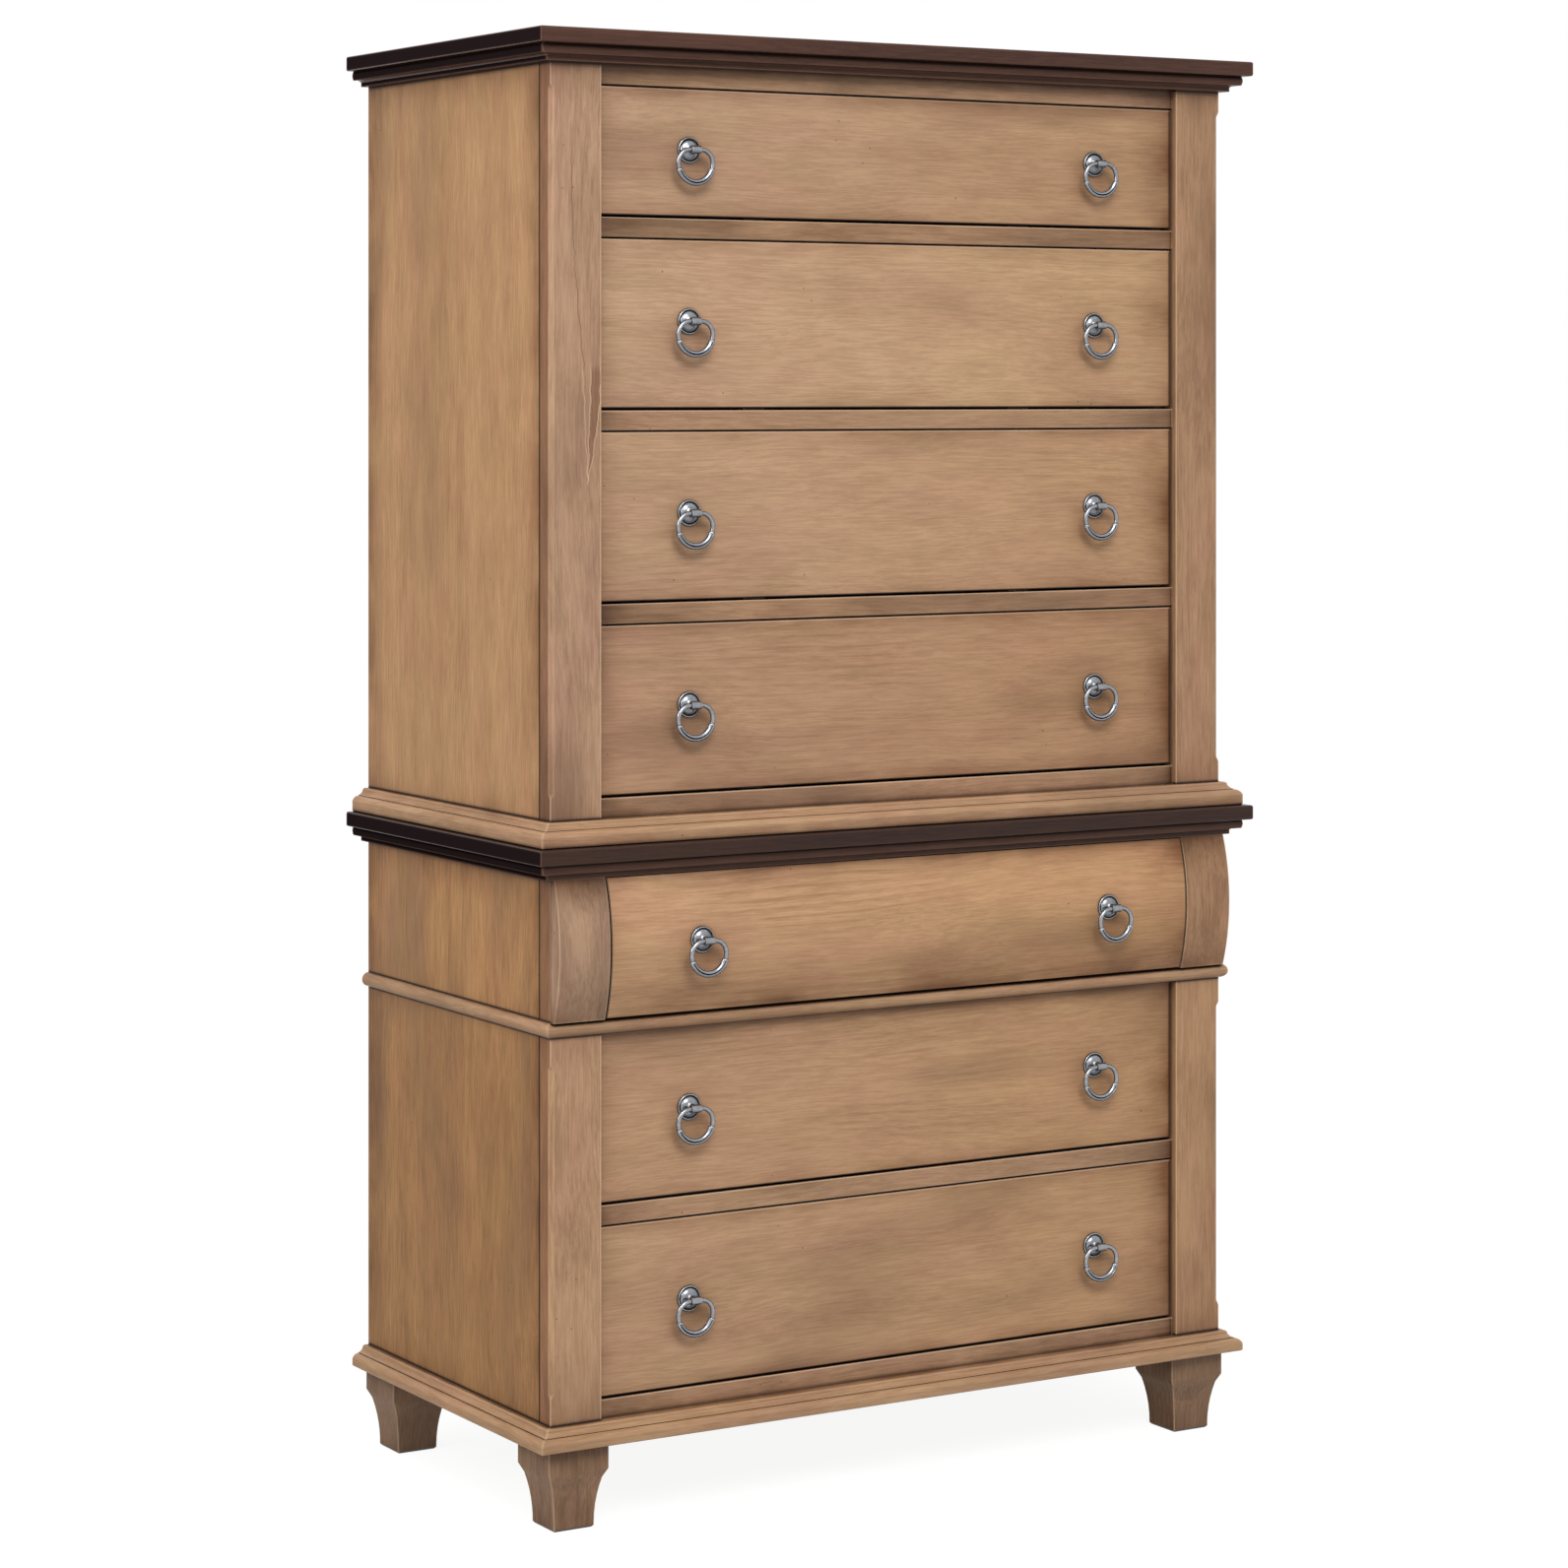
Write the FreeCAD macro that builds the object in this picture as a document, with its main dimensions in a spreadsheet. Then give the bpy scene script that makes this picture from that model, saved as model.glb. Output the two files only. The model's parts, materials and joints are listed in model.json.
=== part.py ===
import FreeCAD, Part
import math
import os
import Sketcher
from FreeCAD import Vector

# Chest on chest: an upper case of four drawers standing on a lower case of three.
# Millimetres. +Z is up, -Y is the front, +X is to the right of someone facing the front.
# The origin is on the floor, under the middle of the bounding box.

# ---------------------------------------------------------------- driving dimensions
DIMENSIONS = {
    # carcases
    "case_width": (1005, "over the posts, both cases"),
    "case_depth": (510, "front of the posts to the back"),
    "post_width": (70, "front post, seen from the front"),
    "post_depth": (27.5, "front post, seen from the side"),
    "side_thickness": (19, "side panels"),
    "back_thickness": (6, "back panels, let into the sides"),
    "back_rebate": (10, "how far the back laps onto each side"),
    "recess": (8.5, "rails and drawer fronts, set back behind the posts"),
    "rail_depth": (45, "front to back of a rail between two drawers"),
    "skirt_depth": (22, "front to back of a top or bottom rail"),
    "rail_round": (1.5, "eased front edges of the rails"),
    "floor_thickness": (18, "floor boards"),
    "glue_block": (60, "corner blocks that the feet are fixed to"),
    "joint_groove": (1.5, "each half of the V between post and side"),
    "post_chamfer": (5, "leg of the stopped chamfer on a post"),
    "stop_length": (6.5, "run-out at each end of that chamfer"),
    "upper_stop": (27, "end of the upper post to the start of its chamfer"),
    "lower_stop": (33, "the same on the lower post"),
    # heights, from the floor up
    "foot_height": (105, "feet"),
    "base_mould_height": (26, "moulding under the lower case"),
    "lower_foot_rail": (23, "bottom rail showing above that moulding"),
    "tall_opening": (211, "opening of a tall drawer"),
    "rail_height": (25, "rail between two drawers"),
    "bead_height": (18, "waist bead"),
    "bow_opening": (173, "opening of the bow-fronted drawer"),
    "cornice_height": (20, "moulding under each top"),
    "slab_thickness": (19, "both tops"),
    "deck_mould_height": (30, "moulding at the foot of the upper case"),
    "upper_foot_rail": (24.5, "bottom rail showing above that moulding"),
    "short_opening": (161, "opening of the top drawer"),
    "head_rail": (25, "top rail showing under the crown"),
    # tops
    "slab_side": (31, "top beyond the posts at each side"),
    "slab_front": (35, "top beyond the posts at the front"),
    "slab_back": (1, "top beyond the case at the back"),
    "slab_round": (2.5, "eased edges of the tops"),
    # mouldings
    "cornice_reach": (23, "cornice beyond the post"),
    "cornice_band": (12, "bullnosed band along its top"),
    "cornice_nose": (1.5, "how far the face of that band is rounded out"),
    "cornice_step": (2, "step back under the band"),
    "cornice_cove": (9, "radius of the cove under the step"),
    "cornice_foot": (5.4, "height of the fillet under the cove"),
    "cornice_foot_reach": (10.35, "that fillet beyond the post"),
    "base_reach": (23, "base moulding beyond the post"),
    "base_ledge": (5, "flat top of a base moulding"),
    "base_ovolo": (3.3, "quarter round beside it"),
    "base_hollow": (9, "radius of the hollow under the quarter round"),
    "quirk_reach": (14, "groove at the foot of the hollow, beyond the post"),
    "quirk_drop": (10.2, "the same groove below the top"),
    "quirk_wall": (1.4, "its upright wall, on the hollow's side"),
    "quirk_width": (1, "across that groove, to the nose"),
    "quirk_slope": (0.6, "how far its floor rises to the nose"),
    "base_nose": (9, "radius of the nose under the groove"),
    "nose_drop": (16.5, "foot of the nose below the top"),
    "base_arris": (1.5, "bevel along the foot"),
    "bead_reach": (9, "waist bead beyond the post"),
    "bead_flat": (1.5, "flat above and below the half round of the bead"),
    # bow section
    "bow_edge": (10, "bow block beyond the post at its top and bottom"),
    "bow_swell": (14.5, "how far the bow swells beyond that"),
    # feet
    "foot_size": (82, "square block at the top of a foot"),
    "foot_proud": (3, "foot beyond the post"),
    "foot_block": (32, "height of that square block"),
    "shoulder_drop": (11, "bevel under the block, downwards"),
    "shoulder_inset": (5.7, "the same bevel, inwards"),
    "foot_taper": (13.3, "how far each face has drawn in at the floor"),
    "foot_hollow": (2.1, "depth of the hollow curve below the shoulder"),
    "foot_ease": (2.5, "eased edge round the floor face"),
    # drawers
    "side_gap": (3, "beside a drawer front and its box"),
    "gap_above": (1.5, "above a drawer front"),
    "gap_below": (2.8, "below a drawer front"),
    "bow_gap": (1.2, "all round the bow-fronted drawer"),
    "front_thickness": (20, "drawer front"),
    "front_round": (2, "eased edges of a drawer front"),
    "box_side": (12, "drawer sides and backs"),
    "box_rise": (0.4, "drawer side above its runner"),
    "box_headroom": (14, "drawer side below the top of its opening"),
    "box_back_room": (30, "drawer back to the back of the case"),
    "box_floor": (6, "drawer bottom"),
    "box_groove": (12, "drawer bottom above the lower edge of its side"),
    "groove_depth": (5, "drawer bottom into its sides and front"),
    "tail_foot": (22, "lowest dovetail above the lower edge of the side"),
    "tail_head": (8, "highest dovetail below the upper edge of the side"),
    "tail_length": (12, "dovetails into the drawer front"),
    "tail_flare": (2, "a tail's extra width at its end, each side"),
    # running gear
    "guide_gap": (1, "drawer side to its guide"),
    "guide_height": (22, "drawer guides"),
    "runner_lap": (16, "runner under the drawer side, measured inwards"),
    "stop_gap": (0.5, "drawer front to its stops"),
    "stop_width": (30, "drawer stop, across"),
    "stop_depth": (12, "drawer stop, front to back"),
    "stop_height": (8, "drawer stop, upright"),
    "stop_spacing": (200, "drawer stop to the middle of the chest"),
    # ring pulls
    "pull_spacing": (305, "pull to the middle of the chest"),
    "pull_rise": (4, "pull above the middle of its opening"),
    "pull_reach": (17, "pivot beyond the drawer face"),
    "rose_radius": (16, "round back plate"),
    "rose_rim": (2, "thickness of its rim"),
    "dome_radius": (13.6, "dome inside the rim"),
    "dome_height": (6, "top of the dome above the drawer face"),
    "dome_slope": (45, "its sides in from upright, in degrees"),
    "neck_radius": (3.6, "neck from the dome to the barrel"),
    "knuckle_radius": (5, "barrel that holds the ring"),
    "knuckle_length": (14, "barrel"),
    "ring_bar": (3.2, "radius of the ring's upper limb"),
    "ring_fit": (0.08, "radial clearance of the ring in the barrel"),
    "ring_straight": (15, "straight run of the ring through the barrel"),
    "ring_shoulder": (16, "radius where the upper limb turns down"),
    "grip_width": (8.2, "lower limb, across the ring"),
    "grip_depth": (6.6, "lower limb, through the ring"),
    "ridge_spacing": (4.92, "between the crests of its two ridges"),
    "grip_groove": (1.3, "groove between the two ridges"),
    "collar_radius": (4.9, "collar where the two limbs meet"),
    "collar_length": (2.4, "the same collar, along the limb"),
}

doc = FreeCAD.newDocument("ChestOnChest")
sheet = doc.addObject("Spreadsheet::Sheet", "Dims")
for row, (alias, (number, note)) in enumerate(DIMENSIONS.items(), start=1):
    sheet.set(f"A{row}", note)
    sheet.set(f"B{row}", str(number))
    sheet.setAlias(f"B{row}", alias)
doc.recompute()


class Size:
    """A length that knows its number now and the sheet formula that drives it."""

    def __init__(self, number, formula=None):
        self.number = float(number)
        self.formula = formula or repr(self.number)

    def __add__(self, other):
        other = as_size(other)
        return Size(self.number + other.number, f"({self.formula} + {other.formula})")

    def __sub__(self, other):
        other = as_size(other)
        return Size(self.number - other.number, f"({self.formula} - {other.formula})")

    def __mul__(self, other):
        other = as_size(other)
        return Size(self.number * other.number, f"({self.formula} * {other.formula})")

    def __truediv__(self, other):
        other = as_size(other)
        return Size(self.number / other.number, f"({self.formula} / {other.formula})")

    def __neg__(self):
        return Size(-self.number, f"(0 - {self.formula})")

    __radd__ = __add__
    __rmul__ = __mul__


def as_size(value):
    return value if isinstance(value, Size) else Size(value)


def root(size):
    return Size(math.sqrt(size.number), f"sqrt({size.formula})")


def arc_radius(chord, rise):
    """Radius of the arc that rises so far over a chord."""
    return (chord * chord / 4 + rise * rise) / (rise * 2)


def arc_rise(chord, radius):
    """How far an arc of a radius rises over a chord."""
    return radius - root(radius * radius - chord * chord / 4)


class Cells:
    """The sheet's cells by name, each as a Size."""

    def __getattr__(self, alias):
        return Size(sheet.get(alias), f"Dims.{alias}")


d = Cells()

# ---------------------------------------------------------------- planes and levels
HALF = d.case_width / 2
INNER = HALF - d.post_width
LINING = HALF - d.side_thickness
BOW_REACH = d.bow_edge + d.bow_swell
FRONT = (BOW_REACH + d.pull_reach + d.knuckle_radius - d.case_depth - d.slab_back) / 2
BACK = FRONT + d.case_depth
FACE = FRONT + d.recess
RAIL_BACK = FACE + d.rail_depth
DRAWER_BACK = FACE + d.front_thickness
PANEL = BACK - d.back_thickness
BOX_END = BACK - d.box_back_room
BOX_HALF = INNER - d.side_gap
BOX_INSIDE = BOX_HALF - d.box_side

BASE_TOP = d.foot_height + d.base_mould_height
LOWER_FLOOR = BASE_TOP + d.lower_foot_rail
RAIL_67 = LOWER_FLOOR + d.tall_opening
BEAD = RAIL_67 + d.rail_height + d.tall_opening
BOW = BEAD + d.bead_height
LOWER_CORNICE = BOW + d.bow_opening
LOWER_SLAB = LOWER_CORNICE + d.cornice_height
DECK = LOWER_SLAB + d.slab_thickness
DECK_TOP = DECK + d.deck_mould_height
UPPER_FLOOR = DECK_TOP + d.upper_foot_rail
RAIL_34 = UPPER_FLOOR + d.tall_opening
RAIL_23 = RAIL_34 + d.rail_height + d.tall_opening
RAIL_12 = RAIL_23 + d.rail_height + d.tall_opening
HEAD = RAIL_12 + d.rail_height + d.short_opening
CROWN = HEAD + d.head_rail
UPPER_SLAB = CROWN + d.cornice_height

# each drawer by number, top to bottom: the foot of its opening and the opening's height
OPENINGS = {
    1: (RAIL_12 + d.rail_height, d.short_opening),
    2: (RAIL_23 + d.rail_height, d.tall_opening),
    3: (RAIL_34 + d.rail_height, d.tall_opening),
    4: (UPPER_FLOOR, d.tall_opening),
    5: (BOW, d.bow_opening),
    6: (RAIL_67 + d.rail_height, d.tall_opening),
    7: (LOWER_FLOOR, d.tall_opening),
}
BOW_DRAWER = 5
TAILS = {1: 3, 2: 4, 3: 4, 4: 4, 5: 3, 6: 4, 7: 4}

nodes = []


# ---------------------------------------------------------------- modelling helpers
def node(item, name):
    """Make an object one of the chest's named sub-parts."""
    item.Label = name
    nodes.append(item)
    return item


def bind(item, prop, size):
    item.setExpression(prop, as_size(size).formula)


def place(item, x, y, z):
    for axis, size in zip("xyz", (x, y, z)):
        bind(item, f"Placement.Base.{axis}", size)


def board(name, x, y, z):
    """A square-edged board between two limits on each axis."""
    box = doc.addObject("Part::Box", name)
    for prop, (low, high) in zip(("Length", "Width", "Height"), (x, y, z)):
        bind(box, prop, as_size(high) - low)
    place(box, x[0], y[0], z[0])
    return box


def body(name):
    return doc.addObject("PartDesign::Body", name)


def bundle(name, members):
    """Separate solids kept together under one object."""
    compound = doc.addObject("Part::Compound", name)
    compound.Links = members
    return compound


def mirrored(name, source):
    """The right-hand twin of a left-hand piece."""
    twin = doc.addObject("Part::Mirroring", name)
    twin.Source = source
    twin.Normal = Vector(1, 0, 0)
    return twin


class Arc:
    """A vertex reached by an arc. A positive radius keeps the arc's centre on the left."""

    def __init__(self, u, v, radius):
        self.point = (u, v)
        self.radius = as_size(radius)


def hold(sketch, kind, size, *where):
    """Add one driving constraint and tie it to the sheet."""
    size = as_size(size)
    index = sketch.addConstraint(Sketcher.Constraint(kind, *where, size.number))
    sketch.setExpression(f"Constraints[{index}]", size.formula)


def arc_edge(start, end, radius):
    """The shorter arc from start to end."""
    chord = end - start
    to_left = Vector(-chord.y, chord.x, 0).normalize()
    rise = math.sqrt(max(radius ** 2 - (chord.Length / 2) ** 2, 0.0))
    centre = (start + end) * 0.5 + to_left * math.copysign(rise, radius)
    angles = [math.atan2(p.y - centre.y, p.x - centre.x) for p in (start, end)]
    if radius < 0:
        angles.reverse()
    return Part.ArcOfCircle(Part.Circle(centre, Vector(0, 0, 1), abs(radius)), *angles)


def draw(sketch, vertices, closed=True):
    """Draw an outline with every vertex held at its own sheet-driven place."""
    first = sketch.GeometryCount
    points = [v.point if isinstance(v, Arc) else v for v in vertices]
    spots = [Vector(as_size(u).number, as_size(v).number, 0) for u, v in points]
    edges = len(vertices) if closed else len(vertices) - 1
    ends = []
    for i in range(edges):
        following = (i + 1) % len(vertices)
        target = vertices[following]
        if not isinstance(target, Arc):
            sketch.addGeometry(Part.LineSegment(spots[i], spots[following]))
            ends.append((1, 2))
            continue
        bends_left = target.radius.number > 0
        sketch.addGeometry(arc_edge(spots[i], spots[following], target.radius.number))
        hold(sketch, "Radius", target.radius if bends_left else -target.radius, first + i)
        ends.append((1, 2) if bends_left else (2, 1))
    for i in range(edges if closed else edges - 1):
        following = (i + 1) % edges
        sketch.addConstraint(Sketcher.Constraint(
            "Coincident", first + i, ends[i][1], first + following, ends[following][0]))
    for i, (u, v) in enumerate(points):
        corner = (first + i, ends[i][0]) if i < edges else (first + i - 1, ends[i - 1][1])
        hold(sketch, "DistanceX", u, -1, 1, *corner)
        hold(sketch, "DistanceY", v, -1, 1, *corner)


PLANES = {"X": "YZ_Plane", "Y": "XZ_Plane", "Z": "XY_Plane"}


def sketch_on(piece, name, axis, offset, outlines):
    """A sketch square to one axis, at an offset along its plane's own normal."""
    plane = [f for f in piece.Origin.OriginFeatures if f.Role == PLANES[axis]][0]
    sketch = piece.newObject("Sketcher::SketchObject", name + "_sketch")
    sketch.AttachmentSupport = [(plane, "")]
    sketch.MapMode = "FlatFace"
    bind(sketch, "AttachmentOffset.Base.z", offset)
    for vertices in outlines:
        draw(sketch, vertices)
    return sketch


def prism(piece, name, axis, span, *outlines):
    """Pad outlines along an axis between two limits. The XZ plane looks along -Y."""
    low, high = span
    pad = piece.newObject("PartDesign::Pad", name)
    pad.Profile = sketch_on(piece, name, axis, -as_size(high) if axis == "Y" else low, outlines)
    bind(pad, "Length", as_size(high) - low)
    return pad


def proved(piece, feature):
    """Recompute, and check that a cutting feature has removed something."""
    before = feature.BaseFeature.Shape.Volume
    doc.recompute()
    if not feature.Shape.Volume < before - 1e-3:
        raise ValueError(f"{piece.Name}: {feature.Name} cuts nothing")
    return feature


def cut(piece, name, axis, span, *outlines):
    """Pocket outlines along an axis between two limits."""
    low, high = span
    doc.recompute()
    pocket = piece.newObject("PartDesign::Pocket", name)
    pocket.Profile = sketch_on(piece, name, axis, -as_size(low) if axis == "Y" else high, outlines)
    bind(pocket, "Length", as_size(high) - low)
    return proved(piece, pocket)


def ease(piece, name, radius, test):
    """Fillet the edges of the piece so far whose middles pass a test."""
    doc.recompute()
    base = piece.Tip
    chosen = [f"Edge{i}" for i, edge in enumerate(base.Shape.Edges, start=1)
              if test(edge.CenterOfMass)]
    fillet = piece.newObject("PartDesign::Fillet", name)
    fillet.Base = (base, chosen)
    bind(fillet, "Radius", radius)
    return fillet


def near(value, size):
    return abs(value - as_size(size).number) < 1e-4


def rectangle(u, v):
    return [(u[0], v[0]), (u[1], v[0]), (u[1], v[1]), (u[0], v[1])]


def across(span):
    """The mirror image of a span in x."""
    return (-as_size(span[1]), -as_size(span[0]))


# ---------------------------------------------------------------- tops
def top_slab(name, level):
    """A top with eased edges, oversailing the front and the sides."""
    piece = body(name)
    reach = HALF + d.slab_side
    back = BACK + d.slab_back
    plan = rectangle((-reach, reach), (FRONT - d.slab_front, back))
    prism(piece, name + "_board", "Z", (level, level + d.slab_thickness), plan)
    faces = (level, level + d.slab_thickness)
    ease(piece, name + "_ease", d.slab_round,
         lambda p: not near(p.y, back) and any(near(p.z, height) for height in faces))
    return node(piece, name)


# ---------------------------------------------------------------- mouldings
def moulding(name, span, reach, profile, filled):
    """Three mitred lengths round the front and sides, from a profile of (reach, height) points.

    A filled front length is widened between the posts, back to the rails behind it.
    """
    low, high = span

    def section(face):
        moved = []
        for vertex in profile:
            out, up = vertex.point if isinstance(vertex, Arc) else vertex
            spot = (as_size(face) - out, low + up)
            moved.append(Arc(*spot, vertex.radius) if isinstance(vertex, Arc) else spot)
        return moved

    outer = HALF + reach
    tip = (-outer, FRONT - reach)
    heel = (-HALF, FRONT)
    front = body(name + "_front")
    prism(front, name + "_run", "X", (-outer, outer), section(FRONT))
    if filled:
        prism(front, name + "_filling", "X", (-INNER, INNER), rectangle((FRONT, FACE), span))
    waste = [tip, heel, (-outer, FRONT)]
    cut(front, name + "_mitres", "Z", span, waste, [(-as_size(x), y) for x, y in waste])
    left = body(name + "_left")
    prism(left, name + "_return", "Y", (FRONT - reach, BACK), section(-HALF))
    cut(left, name + "_return_mitre", "Z", span, [tip, (-HALF, FRONT - reach), heel])
    return node(bundle(name, [front, left, mirrored(name + "_right", left)]), name)


def cornice(name, level, filled):
    """Bullnosed band over a small cove and fillet, under a top."""
    height = d.cornice_height
    face = d.cornice_reach - d.cornice_nose
    band_foot = height - d.cornice_band
    profile = [
        (0, height),
        (face, height),
        Arc(face, band_foot, arc_radius(d.cornice_band, d.cornice_nose)),
        (face - d.cornice_step, band_foot),
        Arc(d.cornice_foot_reach, d.cornice_foot, -d.cornice_cove),
        (d.cornice_foot_reach, 0),
        (0, 0),
    ]
    return moulding(name, (level, level + height), d.cornice_reach, profile, filled)


def plinth_moulding(name, level, height):
    """Flat top, small ovolo, shallow hollow to a quirk, then a rounded nose over a plain face."""
    reach = d.base_reach
    quirk = height - d.quirk_drop
    profile = [
        (0, height),
        (d.base_ledge, height),
        Arc(d.base_ledge + d.base_ovolo, height - d.base_ovolo, d.base_ovolo),
        Arc(d.quirk_reach, quirk + d.quirk_wall, -d.base_hollow),
        (d.quirk_reach, quirk),
        (d.quirk_reach + d.quirk_width, quirk + d.quirk_slope),
        Arc(reach, height - d.nose_drop, d.base_nose),
        (reach, d.base_arris),
        (reach - d.base_arris, 0),
        (0, 0),
    ]
    return moulding(name, (level, level + height), reach, profile, True)


def waist_bead():
    """Half-round bead under the bow section."""
    height = d.bead_height
    profile = [
        (0, height),
        (d.bead_flat, height),
        Arc(d.bead_flat, 0, arc_radius(height, d.bead_reach - d.bead_flat)),
        (0, 0),
    ]
    return moulding("waist_bead", (BEAD, BOW), d.bead_reach, profile, False)


# ---------------------------------------------------------------- carcases
def post(name, level, top, stops):
    """Left front post, grooved where it meets the side, with a stopped chamfer outside.

    stops are the heights between which the chamfer shows.
    """
    piece = body(name + "_left")
    inner_back = FRONT + d.post_depth
    plan = [
        (-HALF, FRONT),
        (-INNER, FRONT),
        (-INNER, inner_back),
        (d.joint_groove - HALF, inner_back),
        (-HALF, inner_back - d.joint_groove),
    ]
    prism(piece, name + "_stock", "Z", (level, top), plan)
    low, high = stops
    clear = 1
    run_out = 0.02
    stations = [
        (low, run_out),
        (low + d.stop_length, 1),
        (high - d.stop_length, 1),
        (high, run_out),
    ]
    sections = []
    for i, (height, share) in enumerate(stations):
        leg = d.post_chamfer * share
        wedge = [
            (leg - HALF, FRONT),
            (-HALF, FRONT + leg),
            (-HALF - clear, FRONT + leg),
            (-HALF - clear, FRONT - clear),
            (leg - HALF, FRONT - clear),
        ]
        sections.append(sketch_on(piece, f"{name}_station_{i}", "Z", height, [wedge]))
    doc.recompute()
    chamfer = piece.newObject("PartDesign::SubtractiveLoft", name + "_chamfer")
    chamfer.Profile = sections[0]
    chamfer.Sections = sections[1:]
    chamfer.Ruled = True
    proved(piece, chamfer)
    node(piece, name + "_left")
    node(mirrored(name + "_right", piece), name + "_right")


def side_panel(name, level, top):
    """Left side: grooved where it meets the post, rebated for the back."""
    piece = body(name + "_left")
    meets_post = FRONT + d.post_depth
    plan = [
        (d.joint_groove - HALF, meets_post),
        (-LINING, meets_post),
        (-LINING, PANEL),
        (-LINING - d.back_rebate, PANEL),
        (-LINING - d.back_rebate, BACK),
        (-HALF, BACK),
        (-HALF, meets_post + d.joint_groove),
    ]
    prism(piece, name + "_panel", "Z", (level, top), plan)
    node(piece, name + "_left")
    node(mirrored(name + "_right", piece), name + "_right")


def back_panel(name, level, top):
    width = LINING + d.back_rebate
    node(board(name, (-width, width), (PANEL, BACK), (level, top)), name)


def eased_rail(name, y, z, top=True, bottom=True):
    """A rail between the posts with its showing front edges rounded."""
    radius = d.rail_round
    upper = [(y[0] + radius, z[1]), Arc(y[0], z[1] - radius, radius)] if top else [(y[0], z[1])]
    lower = [(y[0], z[0] + radius), Arc(y[0] + radius, z[0], radius)] if bottom else [(y[0], z[0])]
    section = [(y[1], z[1])] + upper + lower + [(y[1], z[0])]
    piece = body(name)
    prism(piece, name + "_bar", "X", (-INNER, INNER), section)
    return piece


def stops(number):
    """Two blocks on the rail or floor that a drawer front closes against."""
    level = OPENINGS[number][0]
    depth = (DRAWER_BACK + d.stop_gap, DRAWER_BACK + d.stop_gap + d.stop_depth)
    left = (-d.stop_spacing - d.stop_width / 2, -d.stop_spacing + d.stop_width / 2)
    return [board(f"stop_{number}_{side}", x, depth, (level, level + d.stop_height))
            for side, x in (("left", left), ("right", across(left)))]


def upper_rails():
    """Bottom rail, three dividing rails and the top rail, with the drawer stops."""
    divider = (FACE, RAIL_BACK)
    skirt = (FACE, FACE + d.skirt_depth)
    members = [
        eased_rail("upper_bottom_rail", skirt, (DECK, UPPER_FLOOR), bottom=False),
        eased_rail("rail_34", divider, (RAIL_34, RAIL_34 + d.rail_height)),
        eased_rail("rail_23", divider, (RAIL_23, RAIL_23 + d.rail_height)),
        eased_rail("rail_12", divider, (RAIL_12, RAIL_12 + d.rail_height)),
        eased_rail("upper_top_rail", skirt, (HEAD, UPPER_SLAB), top=False),
    ]
    for number in (1, 2, 3, 4):
        members += stops(number)
    node(bundle("upper_rails", members), "upper_rails")


def lower_rails():
    """Bottom rail, dividing rail, waist rail behind the bead, and the top rail."""
    skirt = (FACE, FACE + d.skirt_depth)
    between_posts = (-INNER, INNER)
    members = [
        eased_rail("lower_bottom_rail", skirt, (d.foot_height, LOWER_FLOOR), bottom=False),
        eased_rail("rail_67", (FACE, RAIL_BACK), (RAIL_67, RAIL_67 + d.rail_height)),
        board("waist_rail", between_posts, (FRONT, RAIL_BACK), (BEAD, BOW)),
        board("lower_top_rail", between_posts, (FRONT, skirt[1]), (LOWER_CORNICE, LOWER_SLAB)),
    ]
    for number in (5, 6, 7):
        members += stops(number)
    node(bundle("lower_rails", members), "lower_rails")


def floor_board(name, top):
    """The board that the bottom drawer of a case runs on."""
    depth = (FACE + d.skirt_depth, PANEL)
    return board(name, (-LINING, LINING), depth, (top - d.floor_thickness, top))


def floors():
    """Upper floor; lower floor with the four corner blocks that carry the feet."""
    node(floor_board("upper_floor", UPPER_FLOOR), "upper_floor")
    members = [floor_board("lower_floor_board", LOWER_FLOOR)]
    upright = (d.foot_height, LOWER_FLOOR - d.floor_thickness)
    left = (-LINING, -LINING + d.glue_block)
    front = (FACE + d.skirt_depth, FACE + d.skirt_depth + d.glue_block)
    rear = (PANEL - d.glue_block, PANEL)
    for end, depth in (("front", front), ("rear", rear)):
        for side, x in (("left", left), ("right", across(left))):
            members.append(board(f"glue_block_{end}_{side}", x, depth, upright))
    node(bundle("lower_floor", members), "lower_floor")


def bow_blocks():
    """Pilaster blocks on the lower posts, bowed like the drawer between them."""
    left = body("bow_block_left")
    section = [
        (FRONT, LOWER_CORNICE),
        (FRONT - d.bow_edge, LOWER_CORNICE),
        Arc(FRONT - d.bow_edge, BOW, arc_radius(d.bow_opening, d.bow_swell)),
        (FRONT, BOW),
    ]
    prism(left, "bow_block", "X", (-HALF, -INNER), section)
    groove = d.joint_groove / 2
    cut(left, "bow_block_groove", "Z", (BOW, LOWER_CORNICE),
        [(-HALF, FRONT - groove), (groove - HALF, FRONT), (-HALF, FRONT)])
    node(bundle("bow_blocks", [left, mirrored("bow_block_right", left)]), "bow_blocks")


def runners(name, bearers, drawers, kicker):
    """Runners behind the rails, guides beside each drawer, and kickers over the top drawer.

    bearers lists the (low, high) levels of the runners; kicker is the foot of the kickers.
    """
    inner = BOX_HALF - d.runner_lap
    behind_rail = (RAIL_BACK, PANEL)
    behind_skirt = (FACE + d.skirt_depth, PANEL)
    boards = [(f"{name}_kicker", (-LINING, -inner), behind_skirt, (kicker, kicker + d.floor_thickness))]
    for i, levels in enumerate(bearers, start=1):
        boards.append((f"{name}_bearer_{i}", (-LINING, -inner), behind_rail, levels))
    for number in drawers:
        level = OPENINGS[number][0]
        guide = (-LINING, -BOX_HALF - d.guide_gap)
        boards.append((f"guide_{number}", guide, behind_rail, (level, level + d.guide_height)))
    members = []
    for label, x, y, z in boards:
        members.append(board(label + "_left", x, y, z))
        members.append(board(label + "_right", across(x), y, z))
    node(bundle(name, members), name)


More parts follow.
